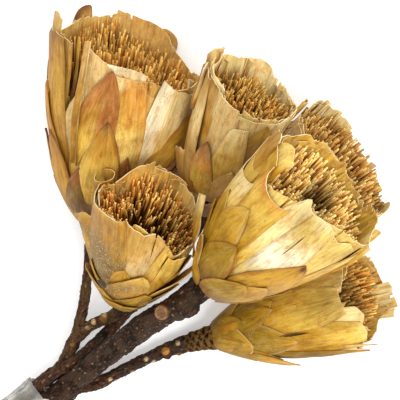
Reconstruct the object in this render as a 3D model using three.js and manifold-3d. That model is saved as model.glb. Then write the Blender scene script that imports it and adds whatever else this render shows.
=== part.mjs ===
// A tied bunch of six dried protea heads on woody stems, lying on a flat surface.
// Millimetres, +Z up. The surface is at z = 0.
// Heads and stems are laid out as seen from above, x to the right and y up the view,
// and the whole bunch is then turned so that its stems run towards +X.

import * as THREE from "three";
import { mergeVertices } from "three/addons/utils/BufferGeometryUtils.js";
import Module from "manifold-3d";

const wasm = await Module();
wasm.setup();

const gap = 0.3; // between neighbours that touch
const heading = 38; // degrees from x to the direction the stems run in the layout
const centre = [-57.934, -1.66]; // the bunch's middle after the turn

// Each head: where its neck ends, the way it points, its length and the radius of its rim.
// lift "rest" lowers it until it lies on the surface, and a number is its neck's height.
// The inner bracts are cut at these shares of its length, on its upper and on its under side.
// hollow opens the florets' middle.
const heads = {
  a: { neckAt: [-53.5, -10.7], azimuth: 77.5, elevation: 17.8, length: 87, rim: 38.7, neck: 5,
    lift: "rest", roll: 0.3, cut: [1.06, 1.12], hollow: 0, florets: 40, perWhorl: 6, seed: 11 },
  b: { neckAt: [-39.5, -48.9], azimuth: 70.7, elevation: 46.5, length: 71, rim: 27, neck: 4.6,
    lift: 36, roll: 0.9, cut: [1.15, 1.03], hollow: 0.42, florets: 34, perWhorl: 5, seed: 23 },
  c: { neckAt: [1.1, -4.3], azimuth: 68, elevation: 32.8, length: 73.3, rim: 27, neck: 4.6,
    lift: 39.3, roll: 0.1, cut: [1.06, 1.08], hollow: 0, florets: 30, perWhorl: 5, seed: 37 },
  d: { neckAt: [4, -41.1], azimuth: 41.4, elevation: 30.6, length: 80, rim: 33.5, neck: 6.4,
    lift: 80.2, roll: 0.5, cut: [1.1, 1.07], hollow: 0, florets: 36, perWhorl: 5, seed: 41 },
  e: { neckAt: [23, -21.5], azimuth: 39.7, elevation: 23.5, length: 71.5, rim: 33.5, neck: 5,
    lift: "rest", roll: 0.7, cut: [1.0, 1.06], hollow: 0, florets: 36, perWhorl: 5, seed: 59 },
  f: { neckAt: [8.3, -70.9], azimuth: 14.9, elevation: 15.8, length: 84, rim: 24.9, neck: 5.6,
    lift: "rest", roll: 0.2, cut: [0.92, 1.06], hollow: 0, florets: 26, perWhorl: 5, seed: 67 },
};
const under = [400, 400, 40]; // a block wider than a head, for cutting it level
const press = 0.4; // how much a resting head is flattened where it touches the surface

// The bracts stand in alternating whorls on a cup, short scales outside and long cut ones inside.
// Each row is [share of the head's length, distance of the bract's middle from the cup's wall,
// half width as a share of a full one]. The inner bracts have been cut across.
const whorls = [
  [[0.03, -0.5, 0.8], [0.1, 1.6, 0.95], [0.24, 2.4, 0.95], [0.4, 2.9, 0.4]],
  [[0.13, -0.5, 0.9], [0.24, 0.7, 0.95], [0.44, 1.75, 0.95], [0.7, 2.6, 0.42]],
  [[0.3, -0.5, 0.9], [0.44, 0.7, 0.95], [0.66, 1.3, 0.97], [0.9, 1.7, 0.7]],
  [[0.36, -0.7, 0.95], [0.44, -0.5, 0.97], [0.66, 0.15, 0.97], [1, 0.3, 0.9]],
];
const bract = { thickness: 0.8, wander: 0.05 };
// The cup's outline, as shares of the head's length and of its rim radius, and its wall.
const outline = [[0, 0.19], [0.1, 0.37], [0.24, 0.56], [0.44, 0.74], [0.66, 0.89], [1, 1]];
const wall = { thickness: 1.4, top: 0.46, floor: 2.2, lip: 0.5 };
// Florets are rods on a smaller core. Heights are shares of the head's length, and margin is the
// way from the cup's wall to the outermost rods. A rod's top rises with its reach and by chance.
const floret = { radius: 1.5, sides: 3, root: 0.06, low: 0.8, high: 0.97, byReach: 0.55, margin: 3.4 };
const core = { rim: 0.42, dome: 0.47, hollow: 0.26, margin: 0.7, fall: [0.1, 0.8], rings: [0.7, 0.3] };

// Stems: the bundle's cross-section in the tie, as [to the left of the heading, height, radius].
const tie = { at: [-74, -98], length: 50, tail: 34, straight: 8, spread: 1.25, film: 0.8, sides: 24 };
const tieSlots = {
  ab: [7.4, 4.7, 3.6],
  c: [6.9, 11.9, 3.1],
  d: [-2.2, 13.2, 5.6],
  e: [0, 4.3, 3.2],
  f: [-6.8, 4.2, 3.1],
};
const limb = { sides: 7, stepsPerPoint: 1.6 };
const fork = { at: [-64.4, -71.7, 11], trunk: 3.6, branch: 2.9 };
// From the tie to the head, as [x, y, z, radius].
const routes = {
  a: [[-60, -52, 13, 2.7], [-57.5, -32, 14, 2.6]],
  b: [[-55.5, -64.5, 15, 2.9]],
  c: [[-62.5, -82, 13, 3.1], [-39, -59, 11, 3.2], [-17, -34, 20, 3.2]],
  d: [[-46, -77.5, 32, 5.9], [-20, -57.5, 60, 6.4]],
  e: [[-46, -77.5, 9, 3.2], [-13, -52, 12, 3.3]],
  f: [[-57.5, -97.5, 6.2, 3.1], [-37.5, -87.5, 7, 3.1], [-19, -79, 6.6, 3.4]],
};
// A stem's last stretch, as [way back from the head's base, share of the neck's radius].
const neckSteps = [[14, 0.66], [5, 0.8], [gap, 0.94]];
// Buds, leaf scars and the cut stub stand out of the bark: [stem, share of its run, turn, radius].
const knobs = [
  ["d", 0.83, 0.15, 3.6],
  ["f", 0.84, -1.2, 2.3],
  ["f", 0.79, 0.4, 2.1],
  ["f", 0.89, 1.3, 2.2],
  ["ab", 0.9, 0.4, 1.8],
];
const knobSeat = 0.8; // how far out a knob's middle lies, as a share of the stem's radius

const colours = {
  bracts: { color: 0xc9a24a, roughness: 0.62, metalness: 0 },
  florets: { color: 0xa87a3c, roughness: 0.8, metalness: 0 },
  bark: { color: 0x54403a, roughness: 0.85, metalness: 0 },
  film: { color: 0xd9dad4, roughness: 0.2, metalness: 0 },
};

const radians = THREE.MathUtils.degToRad;
const vector = (x, y, z) => new THREE.Vector3(x, y, z);

function randomFrom(seed) {
  let state = seed * 7919 + 17;
  return () => {
    state = (state + 0x6d2b79f5) | 0;
    let t = Math.imul(state ^ (state >>> 15), 1 | state);
    t = (t + Math.imul(t ^ (t >>> 7), 61 | t)) ^ t;
    return ((t ^ (t >>> 14)) >>> 0) / 4294967296;
  };
}

// Solids

function solid(geometry) {
  const bare = geometry.clone();
  bare.deleteAttribute("normal");
  bare.deleteAttribute("uv");
  const merged = mergeVertices(bare, 1e-4);
  return new wasm.Manifold(
    new wasm.Mesh({
      numProp: 3,
      vertProperties: merged.attributes.position.array,
      triVerts: new Uint32Array(merged.index.array),
    }),
  );
}

function fuse(geometries) {
  return geometries.map(solid).reduce((whole, next) => whole.add(next));
}

function geometryOf(manifold) {
  const body = manifold.getMesh();
  return new THREE.BufferGeometry()
    .setAttribute("position", new THREE.BufferAttribute(body.vertProperties, 3))
    .setIndex(new THREE.BufferAttribute(body.triVerts, 1));
}

function meshOf(name, manifold, look) {
  const geometry = geometryOf(manifold);
  geometry.computeVertexNormals();
  const mesh = new THREE.Mesh(geometry, new THREE.MeshStandardMaterial(look));
  mesh.name = name;
  return mesh;
}

// A thin closed sheet: place(across, along, side) gives its points, with across from -1 to 1,
// along from 0 to 1, and side -0.5 on the inner face and 0.5 on the outer one.
// Both faces are split along the same diagonals.
function sheet(columns, rows, place) {
  const points = [];
  const faces = [];
  const row = columns + 1;
  const at = (side, i, j) => side * row * (rows + 1) + j * row + i;
  for (const side of [0, 1])
    for (let j = 0; j <= rows; j++)
      for (let i = 0; i <= columns; i++)
        points.push(...place((2 * i) / columns - 1, j / rows, side - 0.5));
  const quad = (p, q, r, s) => faces.push(p, q, r, p, r, s);
  for (let j = 0; j < rows; j++) {
    for (let i = 0; i < columns; i++) {
      quad(at(1, i, j), at(1, i + 1, j), at(1, i + 1, j + 1), at(1, i, j + 1));
      faces.push(at(0, i, j), at(0, i + 1, j + 1), at(0, i + 1, j));
      faces.push(at(0, i, j), at(0, i, j + 1), at(0, i + 1, j + 1));
    }
    quad(at(1, 0, j), at(1, 0, j + 1), at(0, 0, j + 1), at(0, 0, j));
    quad(at(1, columns, j), at(0, columns, j), at(0, columns, j + 1), at(1, columns, j + 1));
  }
  for (let i = 0; i < columns; i++) {
    quad(at(1, i, 0), at(0, i, 0), at(0, i + 1, 0), at(1, i + 1, 0));
    quad(at(1, i, rows), at(1, i + 1, rows), at(0, i + 1, rows), at(0, i, rows));
  }
  return new THREE.BufferGeometry()
    .setAttribute("position", new THREE.Float32BufferAttribute(points, 3))
    .setIndex(faces);
}

// A round limb along a curve, with a radius at each of its points.
function limbAlong({ points, radii }) {
  const steps = Math.round(points.length * limb.stepsPerPoint);
  const curve = new THREE.CatmullRomCurve3(points, false, "centripetal");
  const frames = curve.computeFrenetFrames(steps, false);
  const geometry = new THREE.CylinderGeometry(1, 1, 1, limb.sides, steps);
  const position = geometry.attributes.position;
  for (let i = 0; i < position.count; i++) {
    const station = Math.round((position.getY(i) + 0.5) * steps);
    const share = station / steps;
    const run = curve.getUtoTmapping(share) * (radii.length - 1);
    const low = Math.min(Math.floor(run), radii.length - 2);
    const radius = THREE.MathUtils.lerp(radii[low], radii[low + 1], run - low);
    const point = curve
      .getPointAt(share)
      .addScaledVector(frames.normals[station], position.getX(i) * radius)
      .addScaledVector(frames.binormals[station], -position.getZ(i) * radius);
    position.setXYZ(i, point.x, point.y, point.z);
  }
  return geometry;
}

// Heads, each in its own frame: +Z along its axis and the neck's end at the origin

// The cup is a prism-sided one, with two sides to each bract of a whorl.
// A point of it at a share t of its length, moved out along its outline's normal.
function cupPoint(head, t, angle, out) {
  const within = outline.slice(1, -1).filter(([share]) => share < t).length;
  const [[t0, r0], [t1, r1]] = outline.slice(within, within + 2);
  const normal = new THREE.Vector2((t1 - t0) * head.length, (r0 - r1) * head.rim).normalize();
  const side = Math.PI / head.perWhorl;
  const offCentre = THREE.MathUtils.euclideanModulo(angle - head.roll, side) - side / 2;
  const flat = Math.cos(side / 2) / Math.cos(offCentre);
  const radius = (head.rim * THREE.MathUtils.mapLinear(t, t0, t1, r0, r1) + out * normal.x) * flat;
  const height = Math.max(head.length * t + out * normal.y, 0);
  return [radius * Math.cos(angle), radius * Math.sin(angle), height];
}

function bractSheet(head, rows, angle, stretch) {
  const last = rows.length - 1;
  const side = Math.PI / head.perWhorl;
  return sheet(2, last, (across, along, face) => {
    const j = Math.round(along * last);
    const [share, out, half] = rows[j];
    const t = j === last ? share * stretch : share;
    return cupPoint(head, t, angle + across * half * side, out + face * bract.thickness);
  });
}

// The cup's wall, open towards the florets.
function wallGeometry(head) {
  const shares = outline.map(([t]) => t).filter((t) => t < wall.top);
  const ring = (t, out) => {
    const [x, y, z] = cupPoint(head, t, head.roll, out);
    return [Math.hypot(x, y), out < 0 ? Math.max(z, wall.floor + wall.lip) : z];
  };
  const stations = [...shares.slice(1), wall.top];
  const outer = stations.map((t) => ring(t, 0));
  const inner = stations.map((t) => ring(t, -wall.thickness)).reverse();
  const profile = [[0, 0], ring(0, 0), ...outer, ...inner, [0, wall.floor]];
  return latheOf(profile, head.perWhorl * 2).rotateZ(head.roll);
}

function latheOf(profile, sides) {
  const points = profile.map(([r, z]) => new THREE.Vector2(r, z));
  return new THREE.LatheGeometry(points, sides, -Math.PI / 2).rotateX(Math.PI / 2);
}

function bractsOf(head) {
  const random = randomFrom(head.seed);
  const parts = [wallGeometry(head)];
  whorls.forEach((rows, k) => {
    for (let i = 0; i < head.perWhorl; i++) {
      const angle = head.roll + ((i + (k % 2) / 2) / head.perWhorl) * 2 * Math.PI;
      const below = (1 + Math.cos(angle - radians(head.azimuth))) / 2;
      const cut = THREE.MathUtils.lerp(...head.cut, below);
      parts.push(bractSheet(head, rows, angle, cut * (1 - random() * bract.wander)));
    }
  });
  return fuse(parts);
}

// The top of the florets' core, as a share of the head's length, at a share of the cup's radius.
function coreTop(head, reach) {
  const middle = head.hollow ? core.hollow : core.dome;
  return THREE.MathUtils.lerp(middle, core.rim, THREE.MathUtils.smoothstep(reach, ...core.fall));
}

function coreGeometry(head) {
  const bottom = wall.floor + gap;
  const sides = [outline[1][0], outline[2][0], core.rim].map((t) => {
    const [x, y, z] = cupPoint(head, t, head.roll, -wall.thickness - core.margin);
    return [Math.hypot(x, y), Math.max(z, bottom + wall.lip)];
  });
  const ring = (reach) => [sides[2][0] * reach, head.length * coreTop(head, reach)];
  const profile = [[0, bottom], ...sides, ...core.rings.map(ring), ring(0)];
  return latheOf(profile, head.perWhorl * 2).rotateZ(head.roll);
}

function rodGeometry(from, to, turn) {
  const run = to.clone().sub(from);
  const rod = new THREE.CylinderGeometry(floret.radius, floret.radius, run.length(), floret.sides);
  rod.rotateY(turn).translate(0, run.length() / 2, 0);
  const tilt = new THREE.Quaternion().setFromUnitVectors(vector(0, 1, 0), run.normalize());
  return rod.applyQuaternion(tilt).translate(...from.toArray());
}

function floretsOf(head) {
  const random = randomFrom(head.seed + 1);
  const goldenAngle = Math.PI * (3 - Math.sqrt(5));
  const parts = [coreGeometry(head)];
  for (let i = 0; i < head.florets; i++) {
    const spread = Math.sqrt((i + 0.5) / head.florets);
    const reach = THREE.MathUtils.lerp(head.hollow, 1, spread);
    const at = (t) => {
      const [x, y, z] = cupPoint(head, t, i * goldenAngle, -floret.margin);
      return vector(x * reach, y * reach, z);
    };
    const rise = floret.byReach * reach + (1 - floret.byReach) * random();
    const top = at(THREE.MathUtils.lerp(floret.low, floret.high, rise));
    parts.push(rodGeometry(at(coreTop(head, reach) - floret.root), top, random() * 2 * Math.PI));
  }
  return fuse(parts);
}

// A head lies where its group puts it. The one that rests is pressed flat by a hair where it touches.
function placeHead(key, head) {
  const axis = vector(
    Math.cos(radians(head.azimuth)) * Math.cos(radians(head.elevation)),
    Math.sin(radians(head.azimuth)) * Math.cos(radians(head.elevation)),
    Math.sin(radians(head.elevation)),
  );
  const group = new THREE.Group();
  group.quaternion.setFromUnitVectors(vector(0, 0, 1), axis);
  let bracts = bractsOf(head);
  const rests = head.lift === "rest";
  const turned = geometryOf(bracts).applyQuaternion(group.quaternion);
  turned.computeBoundingBox();
  const height = rests ? -turned.boundingBox.min.z - press : head.lift;
  group.position.set(...head.neckAt, height);
  group.updateMatrixWorld(true);
  if (rests) {
    const floor = new THREE.BoxGeometry(...under).translate(0, 0, -under[2] / 2);
    bracts = bracts.subtract(solid(floor.applyMatrix4(group.matrixWorld.clone().invert())));
  }
  group.add(meshOf(`bracts_${key}`, bracts, colours.bracts));
  group.add(meshOf(`florets_${key}`, floretsOf(head), colours.florets));
  return { group, axis, neckEnd: group.position.clone() };
}

const bunch = new THREE.Group();
const placed = Object.fromEntries(Object.entries(heads).map(([key, h]) => [key, placeHead(key, h)]));
Object.values(placed).forEach(({ group }) => bunch.add(group));

// Stems

const along = vector(Math.cos(radians(heading)), Math.sin(radians(heading)), 0);
const across = vector(-along.y, along.x, 0);

function tiePoint(slot, run, spread = 1) {
  const [left, height] = tieSlots[slot];
  return vector(tie.at[0], tie.at[1], height)
    .addScaledVector(across, left * spread)
    .addScaledVector(along, run);
}

// The stretch through the tie, from the cut end up. It is straight inside the film.
function tiedRun(slot) {
  const below = tie.length + tie.tail;
  const straight = [-tie.length - tie.straight, -tie.length, 0, tie.straight];
  return [tiePoint(slot, -below, tie.spread), ...straight.map((run) => tiePoint(slot, run))];
}

// The stem's last stretch runs into the neck along the head's axis and widens there.
function headEnd(key) {
  const { axis, neckEnd } = placed[key];
  return neckSteps.map(([back, share]) => ({
    point: neckEnd.clone().addScaledVector(axis, -back),
    radius: heads[key].neck * share,
  }));
}

function stemRun(key, start, startRadii) {
  const way = routes[key].map(([x, y, z, r]) => ({ point: vector(x, y, z), radius: r }));
  const end = headEnd(key);
  return {
    points: [...start, ...way.map((w) => w.point), ...end.map((w) => w.point)],
    radii: [...startRadii, ...way.map((w) => w.radius), ...end.map((w) => w.radius)],
  };
}

function knobOn(run, share, turn, radius) {
  const curve = new THREE.CatmullRomCurve3(run.points, false, "centripetal");
  const index = Math.min(Math.round(share * (run.points.length - 1)), run.points.length - 1);
  const side = vector(0, 0, 1).applyAxisAngle(curve.getTangentAt(share), turn);
  const lift = run.radii[index] * knobSeat;
  return new THREE.IcosahedronGeometry(radius, 0).translate(
    ...curve.getPointAt(share).addScaledVector(side, lift).toArray(),
  );
}

function stem(name, runs, slot) {
  const parts = runs.map(limbAlong);
  const own = knobs.filter(([key]) => key === slot);
  own.forEach(([, share, turn, radius]) => parts.push(knobOn(runs[0], share, turn, radius)));
  bunch.add(meshOf(name, fuse(parts), colours.bark));
}

const tiedRadii = (slot) => tiedRun(slot).map(() => tieSlots[slot][2]);
const forkPoint = vector(...fork.at);
const trunk = stemRun("b", [...tiedRun("ab"), forkPoint], [...tiedRadii("ab"), fork.trunk]);
const branch = stemRun("a", [forkPoint], [fork.branch]);
stem("stem_ab", [trunk, branch], "ab");
for (const key of ["c", "d", "e", "f"])
  stem(`stem_${key}`, [stemRun(key, tiedRun(key), tiedRadii(key))], key);

// The clear film is wound tight round the bundle: its outline is the stems' own hull.
function filmOutline(grow) {
  const points = [];
  const reachOf = ([left, height, r], c, s) => left * c + height * s + r;
  for (let i = 0; i < tie.sides; i++) {
    const angle = (2 * Math.PI * (i + 0.5)) / tie.sides;
    const [c, s] = [Math.cos(angle), Math.sin(angle)];
    const [left, height, r] = Object.values(tieSlots).reduce((best, slot) =>
      reachOf(slot, c, s) > reachOf(best, c, s) ? slot : best,
    );
    points.push(new THREE.Vector2(left + (r + grow) * c, height + (r + grow) * s));
  }
  return points;
}

function filmWrap() {
  const shape = new THREE.Shape(filmOutline(gap + tie.film));
  shape.holes.push(new THREE.Path(filmOutline(gap)));
  const geometry = new THREE.ExtrudeGeometry(shape, { depth: tie.length, bevelEnabled: false });
  const frame = new THREE.Matrix4().makeBasis(across, vector(0, 0, 1), along);
  const start = vector(tie.at[0], tie.at[1], 0).addScaledVector(along, -tie.length);
  geometry.applyMatrix4(frame.setPosition(start));
  bunch.add(meshOf("film_wrap", solid(geometry), colours.film));
}

filmWrap();

bunch.rotation.z = -radians(heading);
bunch.position.set(-centre[0], -centre[1], 0);

const root = new THREE.Group();
root.add(bunch);

export default root;
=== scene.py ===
import math
import random

import bmesh
import bpy
from mathutils import Matrix, Vector, kdtree, noise


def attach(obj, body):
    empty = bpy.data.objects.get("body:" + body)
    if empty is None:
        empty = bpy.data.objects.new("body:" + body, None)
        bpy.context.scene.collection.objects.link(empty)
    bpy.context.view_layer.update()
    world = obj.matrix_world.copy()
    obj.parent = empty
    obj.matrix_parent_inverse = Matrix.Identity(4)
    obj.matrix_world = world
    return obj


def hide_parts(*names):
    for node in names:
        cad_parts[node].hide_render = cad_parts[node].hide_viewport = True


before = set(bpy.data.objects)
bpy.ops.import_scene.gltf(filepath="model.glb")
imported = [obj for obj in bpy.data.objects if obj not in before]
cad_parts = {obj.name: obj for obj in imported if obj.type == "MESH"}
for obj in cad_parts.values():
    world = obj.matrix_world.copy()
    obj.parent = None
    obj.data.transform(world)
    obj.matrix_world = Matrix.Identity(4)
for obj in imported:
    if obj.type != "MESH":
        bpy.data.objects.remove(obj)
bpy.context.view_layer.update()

bunch = dict(heading=38, middle=(-57.934, -1.66), millimetre=0.001)
turnToFrame = Matrix.Rotation(math.radians(-bunch["heading"]), 4, "Z")
middleX, middleY = bunch["middle"]
toFrame = (
    Matrix.Scale(bunch["millimetre"], 4)
    @ Matrix.Translation((-middleX, -middleY, 0))
    @ turnToFrame
)

# Dried colours, as red, green and blue out of 255
colours = dict(
    ivory=(247, 233, 196), cream=(241, 215, 148), pale=(234, 200, 108), straw=(223, 180, 70),
    tan=(200, 154, 76), greyCream=(210, 176, 112), wall=(232, 182, 96), gold=(196, 145, 26),
    ochre=(180, 127, 32), olive=(156, 119, 6), deepOlive=(138, 104, 26), orange=(216, 150, 60),
    pink=(192, 128, 64), red=(176, 104, 46), redBrown=(158, 96, 42), brown=(118, 70, 32),
    # dark and rodDark are dark brown on some bracts, and painted shade low on the rods, on the florets'
    # core, along a crease and at head C's base
    dark=(72, 42, 20), rodDark=(96, 56, 24), rodRed=(182, 124, 64), rodPink=(218, 160, 92),
    rodTan=(208, 154, 80), rodPale=(234, 186, 102), rodTip=(250, 214, 132), barkGrey=(60, 47, 36),
    barkRed=(76, 48, 32), barkOlive=(92, 70, 38), barkDark=(27, 18, 12), bark=(150, 122, 92),
    neck=(122, 86, 38), bud=(196, 164, 122), stubWood=(112, 80, 54), stubRing=(146, 108, 74),
    # near black: painted shade inside a hole in a bract and under a fold
    hole=(14, 12, 8),
)


def mix(a, b, share):
    return a + (b - a) * share


def step(low, high, x):
    # rises softly from 0 at low to 1 at high
    x = min(max((x - low) / (high - low), 0), 1)
    return x * x * (3 - 2 * x)


def polar(angle, reach, height=0):
    return Vector((reach * math.cos(angle), reach * math.sin(angle), height))


def paintOf(name):
    return Vector([((c / 255 + 0.055) / 1.055) ** 2.4 for c in colours[name]])


def bend(a, b, c, d, x):
    # one span of a smooth line, from b to c
    return b + 0.5 * x * (c - a + x * (2 * a - 5 * b + 4 * c - d + x * (3 * (b - c) + d - a)))


def lineThrough(values, share):
    # a smooth line through evenly spaced values
    if len(values) == 1:
        return values[0]
    place = min(max(share, 0), 1) * (len(values) - 1)
    i = min(int(place), len(values) - 2)
    ends = values[max(i - 1, 0)], values[i], values[i + 1], values[min(i + 2, len(values) - 1)]
    return bend(*ends, place - i)


def curveThrough(points, x):
    # a smooth line through (place, value) pairs
    i = max([j for j in range(len(points) - 1) if points[j][0] <= x], default=0)
    (x0, y0), (x1, y1) = points[i], points[i + 1]
    before, after = points[max(i - 1, 0)], points[min(i + 2, len(points) - 1)]
    slope0 = (y1 - before[1]) / (x1 - before[0])
    slope1 = (after[1] - y0) / (after[0] - x0)
    f = min(max((x - x0) / (x1 - x0), 0), 1)
    rise = (2 * f**3 - 3 * f**2 + 1) * y0 + (3 * f**2 - 2 * f**3) * y1
    return rise + (x1 - x0) * ((f**3 - 2 * f**2 + f) * slope0 + (f**3 - f**2) * slope1)


def paintAlong(stops, x):
    # a colour between named stops, as [(place, name), ...]
    for (x0, name0), (x1, name1) in zip(stops, stops[1:]):
        if x <= x1:
            return paintOf(name0).lerp(paintOf(name1), step(x0, x1, x))
    return paintOf(stops[-1][1])


def stopsOf(paint):
    # "gold, straw .4, pale" as [(place, name), ...]: a middle one with no place lies halfway
    words = [word.split() for word in paint.split(",")]
    places = [0, *(float([*word, 0.5][1]) for word in words[1:-1]), 1]
    return [(place, word[0]) for place, word in zip(places, words)]


# Materials


def newMaterial(name):
    material = bpy.data.materials.new(name)
    material.use_nodes = True
    tree = material.node_tree
    return material, tree, tree.nodes["Principled BSDF"]


def fill(tree, node, inputs):
    # a socket is linked, anything else is a plain value
    for key, value in inputs.items():
        if isinstance(value, bpy.types.NodeSocket):
            tree.links.new(value, node.inputs[key])
        else:
            node.inputs[key].default_value = value


def addNode(tree, kind, inputs, **settings):
    node = tree.nodes.new(kind)
    for key, value in settings.items():
        setattr(node, key, value)
    fill(tree, node, inputs)
    return node


def stretched(tree, source, scale):
    return addNode(tree, "ShaderNodeMapping", {"Vector": source, "Scale": scale}).outputs["Vector"]


def cloud(tree, source, scale, detail=4, rough=0.6):
    inputs = {"Vector": stretched(tree, source, scale), "Scale": 1, "Detail": detail, "Roughness": rough}
    return addNode(tree, "ShaderNodeTexNoise", inputs).outputs["Fac"]


def shades(tree, source, stops):
    # levels of grey or named colours along a noise, as [(place, level), ...]
    ramp = addNode(tree, "ShaderNodeValToRGB", {"Fac": source})
    band = ramp.color_ramp
    for place, level in stops[1:-1]:
        band.elements.new(place)
    for element, (place, level) in zip(band.elements, stops):
        element.position = place
        element.color = (*(paintOf(level) if isinstance(level, str) else [level] * 3), 1)
    return ramp.outputs["Color"]


def blend(tree, kind, factor, a, b):
    inputs = {0: factor, 6: a, 7: b}
    return addNode(tree, "ShaderNodeMix", inputs, data_type="RGBA", blend_type=kind).outputs[2]


def shaded(tree, colour, source, stops):
    return blend(tree, "MULTIPLY", 1, colour, shades(tree, source, stops))


def product(tree, a, b):
    return addNode(tree, "ShaderNodeMath", {0: a, 1: b}, operation="MULTIPLY").outputs[0]


def heaped(tree, height, *layers):
    # a height with a share of other ones on it
    for source, share in layers:
        inputs = {0: height, 1: product(tree, source, share)}
        height = addNode(tree, "ShaderNodeMath", inputs, operation="ADD").outputs[0]
    return height


def attribute(tree, name, output):
    return addNode(tree, "ShaderNodeAttribute", {}, attribute_name=name).outputs[output]


def bump(tree, height, strength, distance):
    inputs = {"Height": height, "Strength": strength, "Distance": distance}
    return addNode(tree, "ShaderNodeBump", inputs).outputs["Normal"]


# Fibres run along each bract: "grain" holds millimetres across, millimetres along and a chance.


def dots(tree, grain, scale, stops):
    inputs = {"Vector": stretched(tree, grain, scale), "Scale": 1}
    return shades(tree, addNode(tree, "ShaderNodeTexVoronoi", inputs).outputs["Distance"], stops)


def enriched(tree, colour, saturation, value):
    inputs = {"Color": colour, "Saturation": saturation, "Value": value}
    return addNode(tree, "ShaderNodeHueSaturation", inputs).outputs["Color"]


# "grain" holds millimetres across a bract, millimetres along it and a chance. Each cloud is stretched
# along the grain by three scales, and shades along it by [(place, level), ...].
bractFinish = dict(
    fibre=(1.1, 0.07, 1), fibreShades=[(0.3, 0.7), (0.5, 0.98), (0.7, 1.12)],
    fine=(4, 0.25, 1), fineShades=[(0.3, 0.84), (0.5, 1), (0.68, 1.06)],
    drifts=(0.11, 0.06, 1), driftShades=[(0.34, 0.8), (0.5, 0.99), (0.66, 1.1)],
    blotch=(0.3, 0.15, 1), stains=[(0.49, 0), (0.66, 0.75)], patches=[(0.34, 0.14), (0.46, 0)],
    stainTone=(0.72, 0.5, 0.3, 1), patchTone=(0.84, 0.63, 0.3, 1),
    resin=(0.16, 0.16, 1), resinShades=[(0.42, 0), (0.56, 1)], resinTone=(0.25, 0.14, 0.028, 1),
    sand=(1.5, 1.3, 1), glints=[(0.59, 0), (0.64, 1)], pits=[(0.38, 0.8), (0.46, 0)],
    glintTone=(1, 0.84, 0.42, 1), pitTone=(0.2, 0.1, 0.03, 1), resinCover=0.78,
    speck=(0.7, 0.55, 1), speckShades=[(0.17 * 0.55, 1), (0.17, 0)], speckTone=(0.08, 0.035, 0.01, 1),
    speckDrifts=(0.12, 0.1, 3), speckCover=[(0.41, 0), (0.51, 0.95)],
    roughness=[(0.3, 0.38), (0.7, 0.66)], relief=0.00035, saturation=0.99, value=0.94,
)


def bractMaterial():
    finish = bractFinish
    material, tree, shader = newMaterial("driedBract")
    grain = attribute(tree, "grain", "Vector")
    fibre = cloud(tree, grain, finish["fibre"])
    fine = cloud(tree, grain, finish["fine"], detail=3)
    drifts = cloud(tree, grain, finish["drifts"], detail=3)
    blotch = cloud(tree, grain, finish["blotch"], detail=5, rough=0.65)
    colour = shaded(tree, attribute(tree, "tint", "Color"), fibre, finish["fibreShades"])
    colour = shaded(tree, colour, fine, finish["fineShades"])
    colour = shaded(tree, colour, drifts, finish["driftShades"])
    colour = blend(tree, "MULTIPLY", shades(tree, blotch, finish["stains"]), colour, finish["stainTone"])
    colour = blend(tree, "MIX", shades(tree, blotch, finish["patches"]), colour, finish["patchTone"])
    # dried resin with glints and pits, on the bracts that have "grit"
    resin = shades(tree, cloud(tree, grain, finish["resin"], detail=2), finish["resinShades"])
    resin = product(tree, attribute(tree, "grit", "Fac"), resin)
    sand = cloud(tree, grain, finish["sand"], detail=3, rough=0.75)
    glint = product(tree, resin, shades(tree, sand, finish["glints"]))
    pit = product(tree, resin, shades(tree, sand, finish["pits"]))
    # small dark specks, thinned out by a second cloud
    near = dots(tree, grain, finish["speck"], finish["speckShades"])
    some = shades(tree, cloud(tree, grain, finish["speckDrifts"], detail=2), finish["speckCover"])
    speck = product(tree, near, some)
    cover = product(tree, resin, finish["resinCover"])
    for share, tone in ((cover, "resinTone"), (glint, "glintTone"), (pit, "pitTone"), (speck, "speckTone")):
        colour = blend(tree, "MIX", share, colour, finish[tone])
    height = heaped(tree, fibre, (fine, 0.5), (speck, -0.4), (glint, 0.8))
    fill(tree, shader, {
        "Base Color": enriched(tree, colour, finish["saturation"], finish["value"]),
        "Roughness": shades(tree, fine, finish["roughness"]), "Specular IOR Level": 0.17,
        "Subsurface Weight": 0.06, "Subsurface Radius": (0.003, 0.002, 0.001), "Subsurface Scale": 1,
        "Normal": bump(tree, height, 0.6, finish["relief"]),
    })
    return material


def cutEdgeMaterial():
    material, tree, shader = newMaterial("bractCutEdge")
    place = addNode(tree, "ShaderNodeTexCoord", {}).outputs["Object"]
    lines = cloud(tree, place, (1800, 1800, 1800), detail=3)
    fill(tree, shader, {
        "Base Color": shades(tree, lines, [(0.3, "straw"), (0.65, "ivory")]),
        "Roughness": 0.75, "Normal": bump(tree, lines, 0.5, 0.0002),
    })
    return material


def floretMaterial():
    material, tree, shader = newMaterial("driedFloret")
    fibre = cloud(tree, attribute(tree, "grain", "Vector"), (3, 0.25, 1), detail=3)
    colour = shaded(tree, attribute(tree, "tint", "Color"), fibre, [(0.3, 0.68), (0.5, 1), (0.7, 1.15)])
    fill(tree, shader, {
        "Base Color": enriched(tree, colour, 1.05, 1.08), "Specular IOR Level": 0.06,
        "Roughness": shades(tree, fibre, [(0.3, 0.7), (0.7, 0.9)]),
        "Normal": bump(tree, fibre, 0.4, 0.00015),
    })
    return material


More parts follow.
